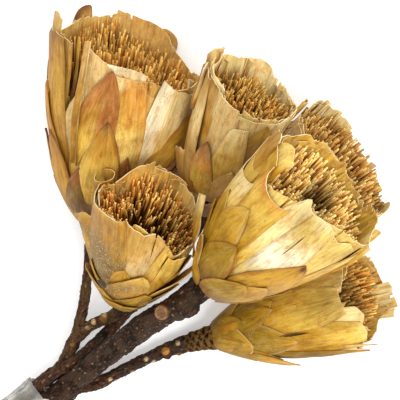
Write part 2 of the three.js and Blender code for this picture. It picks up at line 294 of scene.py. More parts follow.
def barkMaterial():
    # "grain" holds millimetres round the stem, millimetres along it and a chance
    material, tree, shader = newMaterial("driedBark")
    grain = attribute(tree, "grain", "Vector")
    ridges = cloud(tree, grain, (1.1, 0.16, 1), detail=6, rough=0.7)
    flecks = cloud(tree, grain, (2.6, 1.1, 1), detail=4)
    colour = shaded(tree, attribute(tree, "tint", "Color"), ridges, [(0.32, 0.5), (0.5, 0.95), (0.7, 1.5)])
    colour = shaded(tree, colour, flecks, [(0.35, 0.75), (0.5, 1), (0.7, 1.35)])
    lenticel = dots(tree, grain, (0.3, 0.16, 1), [(0.09, 0.7), (0.15, 0)])
    height = heaped(tree, ridges, (flecks, 0.5), (lenticel, 0.5))
    fill(tree, shader, {
        "Base Color": blend(tree, "MIX", lenticel, colour, (*paintOf("bark"), 1)),
        "Roughness": shades(tree, flecks, [(0.3, 0.6), (0.7, 0.85)]), "Specular IOR Level": 0.1,
        "Normal": bump(tree, height, 0.8, 0.0006),
    })
    return material


def filmMaterial():
    material, tree, shader = newMaterial("clearFilm")
    place = addNode(tree, "ShaderNodeTexCoord", {}).outputs["Object"]
    creases = cloud(tree, place, (50, 130, 130), detail=2, rough=0.5)
    colour = shades(tree, creases, [(0.35, 0.28), (0.5, 0.42), (0.68, 0.76)])
    fill(tree, shader, {
        "Base Color": blend(tree, "MULTIPLY", 1, colour, (1, 0.96, 0.86, 1)),
        "Alpha": shades(tree, creases, [(0.35, 0.3), (0.5, 0.42), (0.68, 0.75)]),
        "Roughness": 0.16, "Specular IOR Level": 0.7, "Normal": bump(tree, creases, 0.9, 0.0012),
    })
    return material


bractFaces = bractMaterial()
bractCuts = cutEdgeMaterial()
floretFaces = floretMaterial()
barkFaces = barkMaterial()
filmFaces = filmMaterial()
print("materials made")


def finishPiece(name, bm, materials, nodes, sharpAngle=38, ground=None):
    # a finished piece: its mesh is in the frame's metres and its object at the origin
    if ground is not None:
        for vert in bm.verts:
            vert.co.z = max(vert.co.z, ground)
    bmesh.ops.transform(bm, matrix=toFrame, verts=bm.verts)
    mesh = bpy.data.meshes.new(name)
    bm.to_mesh(mesh)
    bm.free()
    for material in materials:
        mesh.materials.append(material)
    mesh.shade_smooth()
    mesh.set_sharp_from_angle(angle=math.radians(sharpAngle))
    piece = bpy.data.objects.new(name, mesh)
    bpy.context.scene.collection.objects.link(piece)
    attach(piece, "root")
    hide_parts(*nodes)
    print(name, len(mesh.polygons), "faces")


# Heads
# Places on a head are (turn, share): degrees round it from its upper line, positive to the right as
# one looks along its axis, and share of its length. The cup narrows towards the neck.
cupOutline = [(0, 0.19), (0.1, 0.37), (0.24, 0.56), (0.44, 0.74), (0.66, 0.89), (1, 1), (1.3, 1.07)]

plainLeaf = dict(
    belly=1, blunt=1, stand=0, bulge=0.4, lift=0, tilt=0, wave=0.7, rag=0.7, flute=0.3, rolled=0,
    curl=None, thickness=0.75, slits=(), keel=0, flush=(), margin=None, inside="ochre", grit=0,
)
leafMesh = dict(
    columnWidth=1.5, rowLength=2.9, fewColumns=6, fewRows=10, mostColumns=18, mostRows=26, crowding=1.35,
    thickFoot=1.3, thickTop=0.65, thinEdge=0.45,
)


def seatMatrix(point, out):
    # moves a thing that stands on the origin to a point and leans it along out
    return Matrix.Translation(point) @ Vector((0, 0, 1)).rotation_difference(out).to_matrix().to_4x4()


def headMatrix(head):
    azimuth, elevation = math.radians(head["azimuth"]), math.radians(head["elevation"])
    return seatMatrix(head["neck"], polar(azimuth, math.cos(elevation), math.sin(elevation)))


def cupPoint(head, turn, share, out):
    # a point over the cup's wall, moved out along the wall's own normal
    nudge = 0.01
    radius = head["rim"] * curveThrough(cupOutline, share)
    rise = head["rim"] * (curveThrough(cupOutline, share + nudge) - curveThrough(cupOutline, share - nudge))
    normal = Vector((2 * nudge * head["length"], -rise)).normalized()
    angle = math.radians(head["azimuth"] + 180 + turn)
    return polar(angle, radius + out * normal.x, head["length"] * share + out * normal.y)


# How fast each unevenness of a bract changes, across it and along it
unevenness = dict(crumple=(1.6, 3.2), wave=(2.2, 2), flute=(0.55, 1.5), fineFlute=(1.6, 3))


def bract(layer, foot, footHalf, top, out, swell, paint, **more):
    # foot is a (turn, share) place with half a width in mm, top holds the places along a cut upper edge
    # or the tip alone, out is how far foot and top stand off the cup, and swell widens the middle
    own = dict(layer=layer, foot=foot, footHalf=footHalf, top=top, out=out, swell=swell, paint=paint)
    own["rag"] = plainLeaf["rag"] if len(top) > 1 else 0
    return {**own, **more}


def topPoint(leaf, across=0):
    turns, shares = zip(*leaf["top"])
    return lineThrough(turns, (across + 1) / 2), lineThrough(shares, (across + 1) / 2)


def uneven(kind, across, along, chance):
    wide, far = unevenness[kind]
    return noise.noise(Vector((across * wide, along * far, chance)))


def leafPlace(head, leaf, across, along, depth):
    # where a point of a bract lies: across is -1 to 1, along 0 to 1, and depth is below its face in mm
    topTurn, topShare = topPoint(leaf, across)
    midTurn, midShare = topPoint(leaf)
    footTurn, footShare = leaf["foot"]
    gather = along**2
    share = mix(footShare, midShare, along) + (topShare - midShare) * gather
    radius = head["rim"] * curveThrough(cupOutline, share)
    topAngle = (leaf["top"][-1][0] - leaf["top"][0][0]) / 2
    topHalf = math.radians(topAngle) * (head["rim"] * curveThrough(cupOutline, midShare))
    swell = leaf["swell"] * math.sin(math.pi * along ** leaf["belly"]) ** leaf["blunt"]
    offset = across * (mix(leaf["footHalf"], topHalf, along) + swell)
    turn = mix(footTurn, midTurn, along) + (topTurn - midTurn - across * topAngle) * gather
    size = math.radians(1) * radius

    chance = leaf["chance"] * 90
    out = mix(*leaf["out"], along) + leaf["bulge"] * math.sin(math.pi * along) * (1 - across**2)
    out += leaf["stand"] * across**2 * along + leaf["lift"] * along**5
    out -= leaf["tilt"] * offset / (leaf["footHalf"] + leaf["swell"]) * along
    out -= leaf["keel"] * abs(across) * math.sin(math.pi * min(along * 1.05, 1))
    swirl = math.radians(turn) + offset / radius
    wide, far = unevenness["crumple"]
    out += head["crumple"] * noise.noise(polar(swirl, wide, share * far + head["seed"]))
    out += leaf["wave"] * along**4 * uneven("wave", across, along, chance)
    out += leaf["flute"] * (0.4 + along) * uneven("flute", offset, along, chance)
    out += leaf["flute"] * 0.4 * uneven("fineFlute", offset, along, chance)
    ragged = noise.noise(Vector((offset * 0.5, chance, 3)))
    ragged += 0.6 * noise.noise(Vector((offset * 1.7, chance, 7)))
    share += leaf["rag"] * ragged * along**8 / head["length"]

    if leaf["rolled"]:
        roll = abs(leaf["rolled"])
        around = offset / roll
        inner = roll - depth if leaf["rolled"] > 0 else roll + depth
        out += math.copysign(inner * math.cos(around) - roll, leaf["rolled"])
        return cupPoint(head, turn + inner * math.sin(around) / size, share, out)
    if leaf["curl"]:
        reach, roll = leaf["curl"]
        over = (along - 1) * (midShare - footShare) * head["length"] + reach
        if over > 0:
            around = over / abs(roll)
            share += (abs(roll) * math.sin(around) - over) / head["length"]
            out += math.copysign(abs(roll) * (1 - math.cos(around)), roll)
            depth *= math.cos(around)
    thin = 1 - leafMesh["thinEdge"] * abs(across) ** 3
    return cupPoint(head, turn + offset / size, share, out - depth * thin)


def leafTint(head, leaf, across, along, inner, spot):
    chance = leaf["chance"] * 90
    shift = 0.12 * noise.noise(Vector((across * 1.3, along * 1.5, chance + 5)))
    tint = paintAlong(leaf["stops"], along + shift)
    soft = 0.12
    for name, strength, (low, high), (left, right) in leaf["flush"]:
        weight = strength * step(low, high, along + shift)
        weight *= step(left - soft, left + soft, across + shift) if left > -1 else 1
        weight *= 1 - step(right - soft, right + soft, across + shift) if right < 1 else 1
        tint = tint.lerp(paintOf(name), weight)
    side = step(0.8, 1, abs(across))
    if leaf["margin"]:
        name, strength = leaf["margin"]
        tint = tint.lerp(paintOf(name), strength * max(side, step(0.93, 1, along)))
    # darker brown towards the foot: painted shade where the foot tucks under the bracts lapped over it
    tint = tint.lerp(paintOf("brown"), 0.5 * step(0.3, 0, along))
    # reddish-brown edges on some bracts: their own browned margins, with painted shade where the edges lie
    # on the bracts beneath
    tint = tint.lerp(paintOf("redBrown"), 0.45 * side * step(0, 0.6, chance / 90))
    stain = noise.noise(spot * 0.06 + Vector((0, 0, head["seed"])))
    tint = tint.lerp(paintOf(head["stain"]), max(stain, 0) * 0.7)
    if inner:
        tint = tint.lerp(paintOf(leaf["inside"]), 0.6) * 0.9
    return (*tint, 1)


def meshCount(length, size, few, most):
    return int(min(max(length / leafMesh[size], leafMesh[few]), leafMesh[most]))


def cutSlits(bm, leaf, faces, columns, width):
    # opens slits of (across, from, to, how far it opens in mm); gives how far each vert moves across
    moves = {}
    for place, low, high, opening in leaf["slits"]:
        line = round((place + 1) / 2 * columns) / columns * 2 - 1

        def onLine(vert):
            return abs(vert.co.x - line) < 0.01 and low <= (vert.co.y + 1) / 2 <= high

        edges = {edge for face in faces for edge in face.edges}
        bmesh.ops.split_edges(bm, edges=[edge for edge in edges if all(map(onLine, edge.verts))])
        for vert in {v for face in faces for v in face.verts if onLine(v)}:
            along = (vert.co.y + 1) / 2
            sides = [face.calc_center_median().x - line for face in vert.link_faces]
            if min(sides) > 0 or max(sides) < 0:
                wide = math.sin(math.pi * (along - low) / (high - low))
                if high >= 1:
                    wide = step(low, high, along)
                moves[vert] = math.copysign(opening / width * wide, sides[0])
    return moves


def addLeaf(bm, head, leaf):
    leaf = {**plainLeaf, **leaf, "stops": stopsOf(leaf["paint"])}
    tints, grains = bm.verts.layers.float_color["tint"], bm.verts.layers.float_vector["grain"]
    shares, depths = bm.verts.layers.float_vector["shares"], bm.verts.layers.float["depth"]
    grits = bm.verts.layers.float["grit"]
    length = (topPoint(leaf)[1] - leaf["foot"][1]) * head["length"]
    topHalf = math.radians(leaf["top"][-1][0] - leaf["top"][0][0]) / 2 * head["rim"]
    width = max(topHalf, (leaf["footHalf"] + topHalf) / 2 + leaf["swell"]) * 2
    columns = meshCount(width, "columnWidth", "fewColumns", "mostColumns")
    columns += columns % 2
    rows = meshCount(length, "rowLength", "fewRows", "mostRows")
    grid = bmesh.ops.create_grid(bm, x_segments=columns, y_segments=rows, size=1)
    faces = list({face for vert in grid["verts"] for face in vert.link_faces})
    moves = cutSlits(bm, leaf, faces, columns, width)
    verts = list({v for face in faces for v in face.verts})
    crowding = leafMesh["crowding"]
    for vert in verts:
        across = math.sin(vert.co.x * crowding) / math.sin(crowding) + moves.get(vert, 0)
        vert[shares] = (across, (vert.co.y + 1) / 2, 0)
        vert[depths] = 0
    skin = bmesh.ops.extrude_face_region(bm, geom=faces, use_keep_orig=True)
    below = [v for v in skin["geom"] if isinstance(v, bmesh.types.BMVert)]
    for vert in below:
        vert[depths] = 1
    for vert in verts + below:
        across, along, _ = vert[shares]
        thickness = leaf["thickness"] * mix(leafMesh["thickFoot"], leafMesh["thickTop"], along)
        vert.co = leafPlace(head, leaf, across, along, vert[depths] * thickness)
        vert[tints] = leafTint(head, leaf, across, along, vert[depths] > 0.5, vert.co)
        vert[grains] = (across * width / 2, along * length, leaf["chance"] * 100)
        vert[grits] = leaf["grit"] * step(0.05, 0.25, along) * step(0.95, 0.6, along)
    # the upper edge of a cut bract shows its pale inside
    skins = {face for vert in verts + below for face in vert.link_faces}
    for face in skins:
        onTop = all(v[shares].y > 0.999 for v in face.verts)
        bothSides = len({round(v[depths]) for v in face.verts}) == 2
        face.material_index = 1 if bothSides and onTop and len(leaf["top"]) > 1 else 0
    bmesh.ops.recalc_face_normals(bm, faces=list(skins))


def turnApart(a, b):
    return abs((a - b + 180) % 360 - 180)


def rimShare(head, turn):
    # how high the bracts have been cut, by direction
    line = sorted(head["cut"])
    line = [(line[-1][0] - 360, line[-1][1])] + line + [(line[0][0] + 360, line[0][1])]
    turn = (turn + 180) % 360 - 180
    for (t0, s0), (t1, s1) in zip(line, line[1:]):
        if t0 <= turn <= t1:
            return mix(s0, s1, step(t0, t1, turn))
    return 1


# The bracts that any head has, from the inside out. half is a share of the spacing in a ring,
# foot and tip are shares of the head's length, and a tip of None reaches the cut rim.
rings = [
    dict(layer="inner", count=9, foot=0.34, tip=None, half=0.62, out=(-1.4, -0.9), high=0.01),
    dict(layer="rim", count=8, foot=0.26, tip=None, half=0.66, out=(-0.5, 0), high=-0.01),
    dict(layer="long", count=7, foot=0.18, tip=0.9, half=0.62, out=(0.5, 0.8), high=0),
    dict(layer="mid", count=8, foot=0.13, tip=0.66, half=0.6, out=(1.3, 1.6), high=0),
    dict(layer="low", count=8, foot=0.07, tip=0.44, half=0.6, out=(2.1, 2.5), high=0),
    dict(layer="base", count=8, foot=0.02, tip=0.25, half=0.6, out=(2.8, 3.1), high=0),
]


def ringLeaf(head, ring, turn, chance):
    spacing = 360 / ring["count"]
    half = spacing * ring["half"] * chance.uniform(0.85, 1.15)
    leaf = dict(layer=ring["layer"], foot=(turn + chance.uniform(-3, 3), ring["foot"]), out=ring["out"])
    paints = head["paints"]
    if ring["tip"] is None:
        corners = [turn - half, turn - half * 0.45, turn + half * 0.45, turn + half]
        dip = chance.uniform(-0.01, 0.05)
        shares = [rimShare(head, c) + ring["high"] + chance.uniform(-0.02, 0.02) for c in corners]
        shares[1] -= dip
        shares[2] -= dip
        leaf.update(
            top=list(zip(corners, shares)), footHalf=head["rim"] * 0.2, swell=chance.uniform(0.5, 2.5),
            paint=chance.choice(paints["rim"]), rag=chance.uniform(0.5, 1.6), inside=paints["inside"],
            wave=chance.uniform(0.6, 1.4), slits=((chance.uniform(-0.6, 0.6), 0.7, 1, 0.9),),
        )
    else:
        radius = head["rim"] * curveThrough(cupOutline, mix(ring["foot"], ring["tip"], 0.55))
        wide = math.radians(half) * radius
        tip = min(ring["tip"] * chance.uniform(0.9, 1.1), rimShare(head, turn) - 0.03)
        leaf.update(
            top=[(turn + chance.uniform(-5, 5), tip)], footHalf=wide * 0.6, swell=wide * 0.72,
            blunt=chance.uniform(0.6, 0.95), belly=chance.uniform(0.9, 1.15),
            paint=chance.choice(paints["scales"]), lift=chance.uniform(0, 0.8), rag=0,
            margin=chance.choice([("cream", 0.5), ("brown", 0.4), None]), inside=paints["inside"],
            wave=chance.uniform(0.3, 0.8), keel=chance.uniform(0, 0.5),
        )
    return leaf


stripPaints = [
    "brown, tan .4, cream", "ochre, straw .6, pale", "redBrown, ochre, tan", "brown, gold, ivory",
]


def frillStrip(head, frill, i, chance):
    # one of a row of narrow straw-like bracts among the outer florets
    low, high = frill["turns"]
    turn = mix(low, high, (i + chance.random()) / frill["count"])
    share = rimShare(head, turn) + chance.uniform(*frill["over"])
    half = math.degrees(chance.uniform(*frill["half"]) / head["rim"])
    out = chance.uniform(*frill["out"])
    slope = frill.get("slope", 0.02)
    skew = chance.uniform(-slope, slope)
    lean = chance.uniform(-2, 2)
    return bract(
        "strap", (turn - lean, share - 0.4), chance.uniform(*frill["half"]) * 0.7,
        [(turn - half, share - skew), (turn + half, share + skew)], (out * 0.6, out), 0,
        chance.choice(frill.get("paints", stripPaints)), thickness=0.5, rag=0.5, wave=1.2,
        inside=frill.get("inside", "tan"), keel=chance.uniform(-0.8, 0.8), chance=chance.random(),
    )


def makeBracts(head):
    chance = random.Random(head["seed"])
    leaves = [{**leaf, "chance": chance.random()} for leaf in head["leaves"]]
    for ring in rings:
        spacing = 360 / ring["count"]
        # a listed bract of the same layer, or a gap, takes the place of others
        free = spacing * ring["half"] * 1.25
        taken = [(topPoint(own)[0], free) for own in head["leaves"] if own["layer"] == ring["layer"]]
        taken += [(at, half) for layers, at, half in head.get("gaps", ()) if ring["layer"] in layers]
        start = chance.uniform(0, spacing)
        for i in range(ring["count"]):
            turn = start + 360 * i / ring["count"] + chance.uniform(-4, 4)
            leaf = {**ringLeaf(head, ring, turn, chance), "chance": chance.random()}
            if all(turnApart(at, turn) >= half for at, half in taken):
                leaves.append(leaf)
    for frill in head.get("frills", ()):
        leaves += [frillStrip(head, frill, i, chance) for i in range(frill["count"])]
    bm = bmesh.new()
    bm.verts.layers.float_color.new("tint")
    bm.verts.layers.float_vector.new("grain")
    bm.verts.layers.float_vector.new("shares")
    bm.verts.layers.float.new("depth")
    bm.verts.layers.float.new("grit")
    for leaf in leaves:
        addLeaf(bm, head, leaf)
    bmesh.ops.transform(bm, matrix=headMatrix(head), verts=bm.verts)
    node = f"bracts_{head['name']}"
    finishPiece(f"{node}_dry", bm, [bractFaces, bractCuts], [node], ground=0)


# Florets: thin rods on a low core, packed by the golden angle
rod = dict(
    sides=5, rings=(0.74, 0.93), radius=(0.34, 0.56), foot=0.5, spacing=1.64, wall=2.2, sway=0.5,
    glow=(0.65, 1.2), strayRadius=0.65, strayFoot=0.62, strayLean=4, strayPaint=4, bareDrop=0.3,
    pitDrop=0.5, pitShade=0.6,
)
# each rod darkens low down, painted shade deep in the gaps between the rods, and grows paler towards its
# tip
rodPaints = [
    stopsOf(paint) for paint in (
        "dark, dark .74, rodRed .93, rodPale", "dark, rodDark .74, rodRed .93, rodPink",
        "dark, dark .74, rodTan .93, rodTip", "dark, dark .74, rodRed .93, rodTan",
        "dark, rodDark .74, rodPale .93, rodTip",
    )
]


def coreShare(head, reach):
    low, high = head["coreTop"]
    return mix(high, low, step(0.1, 0.9, reach)) if not head["hollow"] else low


def fieldPoint(head, turn, reach, share):
    point = cupPoint(head, turn, share, -rod["wall"])
    return Vector((point.x * reach, point.y * reach, point.z))


def rodStencil(bm):
    bmesh.ops.create_cone(bm, cap_ends=True, segments=rod["sides"], radius1=1, radius2=1, depth=1)
    for ring in rod["rings"]:
        geom = bm.verts[:] + bm.edges[:] + bm.faces[:]
        bmesh.ops.bisect_plane(bm, geom=geom, plane_co=(0, 0, ring - 0.5), plane_no=(0, 0, 1))
    return len(bm.verts)


def pitDistance(head, turn, reach):
    # from the middle of the dark slot in a field, in half widths of the slot
    if "pit" not in head:
        return math.inf
    aside, ahead, wide, long = head["pit"]
    aside = (reach * math.sin(math.radians(turn)) - aside) / wide
    ahead = (reach * math.cos(math.radians(turn)) - ahead) / long
    return math.hypot(aside, ahead)


def makeFlorets(head):
    chance = random.Random(head["seed"] + 1)
    bm = bmesh.new()
    tints = bm.verts.layers.float_color.new("tint")
    grains = bm.verts.layers.float_vector.new("grain")
    each = rodStencil(bm)
    area = math.pi * (head["rim"] - rod["wall"]) ** 2 * (1 - head["hollow"] ** 2)
    standing = int(area / rod["spacing"] ** 2)
    count = standing + head.get("strays", 0)
    while len(bm.verts) < count * each:
        bmesh.ops.duplicate(bm, geom=bm.verts[:] + bm.edges[:] + bm.faces[:])
    bmesh.ops.delete(bm, geom=bm.verts[:][count * each:], context="VERTS")
    verts = bm.verts[:]
    golden = math.degrees(math.pi * (3 - math.sqrt(5)))
    low, high = head["rods"]
    bareTurn, bareHalf = head.get("bare", (0, 0))
    cast = Vector(head.get("cast", (1, 1, 1)))
    sweep = polar(math.radians(head["azimuth"] + 90), 1)
    for i in range(count):
        spread = math.sqrt(min((i + 0.5) / standing, 1))
        reach = min(mix(head["hollow"], 1, spread) + chance.uniform(-0.02, 0.02), 1)
        turn = i * golden + chance.uniform(-3, 3)
        near = (1 + math.cos(math.radians(turn))) / 2
        foot = fieldPoint(head, turn, reach, coreShare(head, reach) - 0.05)
        lump = noise.noise(Vector((foot.x * 0.09, foot.y * 0.09, head["seed"])))
        rim = rimShare(head, turn) - mix(*head["below"], near)
        rough = 1.2 * lump + chance.uniform(-1.3, 1)
        share = mix(low, rim, reach**1.6) + high * rough * (1 - 0.6 * reach**4)
        if turnApart(turn, bareTurn) < bareHalf and reach > 0.7:
            share -= rod["bareDrop"]
        pit = pitDistance(head, turn, reach)
        share -= rod["pitDrop"] * step(1, 0.75, pit)
        lean = chance.gauss(0, head["lean"])
        tip = fieldPoint(head, turn + chance.gauss(0, 3), min(reach + lean, 1.03), share)
        # one draw that nothing uses keeps the ones after it in step
        chance.random()
        radius = chance.uniform(*rod["radius"])
        stray = i >= standing
        if stray:
            # a loose one, long and thin, that leans across the others
            foot = fieldPoint(head, turn, chance.uniform(0.1, 0.85), rod["strayFoot"])
            aside = (chance.gauss(0, rod["strayLean"]), chance.gauss(0, rod["strayLean"]))
            tip = foot + Vector((*aside, head["length"] * chance.uniform(*head["strayReach"])))
            tip += sweep * head["straySweep"] * chance.random()
            tip.z = min(tip.z, (rimShare(head, turn) - 0.04) * head["length"])
            radius *= rod["strayRadius"]
        run = tip - foot
        tilt = Vector((0, 0, 1)).rotation_difference(run)
        sway = Vector((chance.gauss(0, rod["sway"]), chance.gauss(0, rod["sway"]), 0))
        paint = rodPaints[chance.choice(head.get("rodPaints", range(len(rodPaints))))]
        if stray:
            paint = rodPaints[rod["strayPaint"]]
        # the rods round the dark slot are painted darker: painted shade in the slot
        shade = head.get("glow", 1) * (1 - rod["pitShade"] * step(1.5, 1, pit))
        glow = chance.uniform(*rod["glow"]) * shade
        # rods towards one side of the field are painted darker: painted shade on that side
        side = math.cos(math.radians(turn - head.get("sideShadeTurn", 0)))
        glow *= 1 - head.get("sideShade", 0) * step(-0.3, 0.8, side)
        for vert in verts[i * each : (i + 1) * each]:
            along = vert.co.z + 0.5
            wide = radius * mix(rod["foot"], 1, along)
            girth = tilt @ Vector((vert.co.x * wide, vert.co.y * wide, 0))
            bow = sway * math.sin(math.pi * along)
            vert[grains] = (math.atan2(vert.co.y, vert.co.x) * radius, along * run.length, i)
            vert[tints] = (*(paintAlong(paint, along) * glow * cast), 1)
            vert.co = foot + run * along + girth + bow
    addCore(bm, head, tints, grains)
    bmesh.ops.transform(bm, matrix=headMatrix(head), verts=bm.verts)
    node = f"florets_{head['name']}"
    finishPiece(f"{node}_dry", bm, [floretFaces], [node], ground=0)


def addCore(bm, head, tints, grains):
    # a dome under the rods, spun round the head's axis, painted dark as shade deep among the rods
    floor = 0.08
    wall = [(0.96, min(share, coreShare(head, 1))) for share in (0.1, 0.24, 0.36)]
    dome = [(reach, coreShare(head, reach)) for reach in (0.85, 0.6, 0.3)]
    profile = [Vector((0, 0, floor * head["length"]))]
    for reach, share in wall + dome:
        point = fieldPoint(head, 0, reach, share)
        profile.append(Vector((math.hypot(point.x, point.y), 0, point.z)))
    profile.append(Vector((0, 0, coreShare(head, 0) * head["length"])))
    line = [bm.verts.new(point) for point in profile]
    edges = [bm.edges.new(pair) for pair in zip(line, line[1:])]
    others = set(bm.verts) - set(line)
    bmesh.ops.spin(
        bm, geom=line + edges, cent=(0, 0, 0), axis=(0, 0, 1), angle=math.tau, steps=36, use_merge=True
    )
    core = [vert for vert in bm.verts if vert not in others]
    for vert in core:
        vert[tints] = (*paintOf("dark"), 1)
        vert[grains] = vert.co
    faces = {face for vert in core for face in vert.link_faces}
    bmesh.ops.remove_doubles(bm, verts=core, dist=0.001)
    bmesh.ops.recalc_face_normals(bm, faces=[face for face in faces if face.is_valid])


# The heads. cut is the line where their bracts end, as (turn, share). rods holds the height of the
# field's middle and its unevenness, below how far its edge stays under the cut line on the far and the
# near side, coreTop the heights of the core's edge and middle, and strays loose rods over the others.
# gaps are (layers, turn, half an angle) that a ring leaves free, and bare is where the rods are short.
headA = dict(
    name="a", neck=(-53.5, -10.7, 18.4), azimuth=77.5, elevation=17.8, length=87, rim=38.7, seed=11,
    crumple=1.3, stain="ochre", hollow=0, coreTop=(0.42, 0.5), rods=(0.94, 0.08), below=(0.08, 0.03),
    lean=0.035,
    cut=[(-156, 1.17), (-130, 1.12), (-110, 1.08), (-64, 1.12), (-30, 1.1), (-8, 1.04), (20, 1),
         (44, 0.95), (90, 0.96), (120, 0.97), (144, 1), (156, 1.07), (168, 1.1), (180, 1.13)],
    gaps=[(("rim", "inner", "long", "mid"), -46, 17)], bare=(-70, 45),
    paints=dict(
        rim=["gold, straw, tan", "ochre, pale .6, pale"],
        scales=["olive, gold, redBrown", "gold, ochre .6, orange"],
        inside="wall",
    ),
    leaves=[
        # the big pointed bract, red on its right half
        bract("long", (-22, 0.2), 7, [(-6, 1.04)], (1.2, 1.8), 8.5,
            "gold, straw .45, ochre .66, pink .84, redBrown", belly=1.15, blunt=0.75, bulge=1.8,
            keel=0.6, flush=(("red", 0.9, (0.4, 0.62), (0.1, 1)),)),
        bract("long", (-34, 0.22), 6, [(-28, 0.9)], (0.4, 0.8), 7, "gold, greyCream .4, cream", rag=0.7),
        # the cut bract beside it, orange under its cut
        bract("long", (14, 0.25), 7, [(-8, 1.01), (0, 1.01), (10, 1.005), (19, 1.01)], (0.7, 1.2), 3,
            "gold, pale .45, straw .7, ochre .95, cream", wave=0.4, rag=0.5,
            flush=(("orange", 0.8, (0.5, 0.75), (0, 1)),)),
        bract("inner", (4, 0.5), 8, [(-12, 1.065), (-2, 1.06), (8, 1.06), (18, 1.04)], (-0.6, -0.2), 1,
            "gold, pale .7, ivory", rag=0.5),
        # the ovate bract low down
        bract("mid", (-6, 0.12), 5.5, [(-3, 0.74)], (2.2, 2.9), 7.5, "gold, straw, ochre .8, brown",
            belly=1.05, blunt=0.8, bulge=3.6, lift=0.2, keel=0.3, margin=("brown", 0.9)),
        bract("mid", (18, 0.2), 3.5, [(19, 0.545)], (2, 2.4), 3, "brown, redBrown",
            margin=("brown", 0.7)),
        # the near white cut bract and the golden one over its foot
        bract("long", (46, 0.3), 9, [(30, 1.03), (43, 0.97), (60, 0.94), (88, 0.9)], (0.3, 0.9), 2,
            "straw, pale .4, cream .7, cream", flute=0.5,
            flush=(("ivory", 0.9, (0.2, 0.5), (-1, -0.35)),)),
        bract("mid", (62, 0.12), 9, [(84, 0.95)], (3, 6.5), 14, "gold, straw .35, gold .85, ochre",
            blunt=0.85, tilt=-10, margin=("redBrown", 0.7)),
        bract("low", (58, 0.05), 6, [(78, 0.62)], (3, 5), 9, "gold, straw, ochre",
            margin=("brown", 0.6)),
        # a low bract standing off into the gap towards head C, brown as painted shade there
        bract("low", (80, 0.06), 7, [(92, 0.62)], (4, 11), 8, "brown, brown .6, ochre", tilt=-8, rag=1),
        # the left column
        bract("long", (-62, 0.25), 8, [(-92, 1.09), (-78, 1.08), (-64, 1.13), (-50, 1.12)], (0.6, 1.6),
            4, "ochre, ochre .45, gold .7, ochre", rag=0.5,
            flush=(("pink", 0.7, (0.6, 0.85), (-1, 0.1)), ("straw", 0.4, (0.3, 0.6), (0.6, 1))),
            margin=("brown", 0.5)),
        bract("strap", (-84, 0.5), 7, [(-94, 1.12), (-82, 1.19), (-68, 1.235), (-62, 1.2)], (-0.6, 0.4),
            0, "ochre, tan .8, greyCream", stand=-1.5, rag=0.2, inside="cream"),
        # deeper in, a tall rolled bract and brown straps in the notch
        bract("strap", (-152, 0.5), 9,
            [(-155, 1.02), (-146, 1.15), (-138, 1.19), (-130, 1.15), (-121, 1.02)], (0, 0.6), 0,
            "ochre, gold .6, tan .9, brown", wave=0, rag=0.2, flute=0.5, rolled=4.2, inside="tan"),
        bract("strap", (-60, 0.5), 1.4, [(-63, 1.12), (-59, 1.115)], (-2.4, -2.6), 0.4,
            "brown, ochre .6, gold", rag=0.2, thickness=0.5, keel=0.6, inside="brown"),
        bract("strap", (-52, 0.5), 1.2, [(-53.5, 1.1), (-50.5, 1.1)], (-3, -3.4), 0.5,
            "dark, brown .6, gold", rag=0.2, thickness=0.5, keel=0.6, inside="brown"),
        bract("strap", (-44, 0.5), 1.2, [(-45, 1.14), (-42, 1.13)], (-3.6, -4.4), 0.5,
            "dark, brown, straw", rag=0.2, thickness=0.5, keel=0.6, inside="brown"),
        # a bract rolled into a tube on the far side, and a white curl at the right end
        bract("strap", (161, 0.6), 11, [(142, 1), (152, 1.09), (161, 1.125), (170, 1.09), (180, 1)],
            (0.6, 1.8), 0, "ochre, gold .6, tan", wave=0, rag=0.2, rolled=5, inside="tan"),
        bract("strap", (74, 0.86), 3.2, [(66, 1), (75, 0.99)], (-4, -5), 0, "pale, ivory", rag=0.2,
            rolled=1.9, thickness=0.5, inside="cream"),
        bract("mid", (-66, 0.12), 7, [(-84, 0.8), (-76, 0.83), (-66, 0.79)], (2, 2.8), 3,
            "gold, ochre, orange .92, dark", rag=1.8, curl=(3, -3), margin=("brown", 0.6)),
        bract("low", (-60, 0.06), 6, [(-62, 0.56)], (2.8, 3.3), 8, "brown, gold .4, ochre .8, redBrown",
            blunt=0.8, margin=("brown", 0.7)),
        bract("mid", (-100, 0.1), 8, [(-96, 0.95)], (1.8, 2.4), 9, "brown, ochre, redBrown",
            margin=("brown", 0.8)),
        bract("low", (-92, 0.05), 6, [(-84, 0.52)], (2.8, 3.4), 8, "brown, ochre, brown", lift=1,
            margin=("dark", 0.8)),
        bract("low", (-26, 0.06), 4.5, [(-21, 0.43)], (2.9, 3.4), 5,
            "brown, deepOlive, redBrown .8, brown", blunt=0.75, bulge=1, margin=("brown", 0.8)),
        # the rolled strap and the pale bract behind it
        bract("strap", (-30, 0.42), 3.4, [(-28.5, 1.165), (-23.5, 1.17)], (1.4, 2.2), 0,
            "olive, tan, cream", rag=0.3, rolled=1.9, thickness=0.5),
        bract("rim", (-17, 0.42), 6, [(-27, 1.12), (-19, 1.09), (-8, 1.045)], (-0.2, 0.3), 1,
            "greyCream, greyCream"),
    ],
)
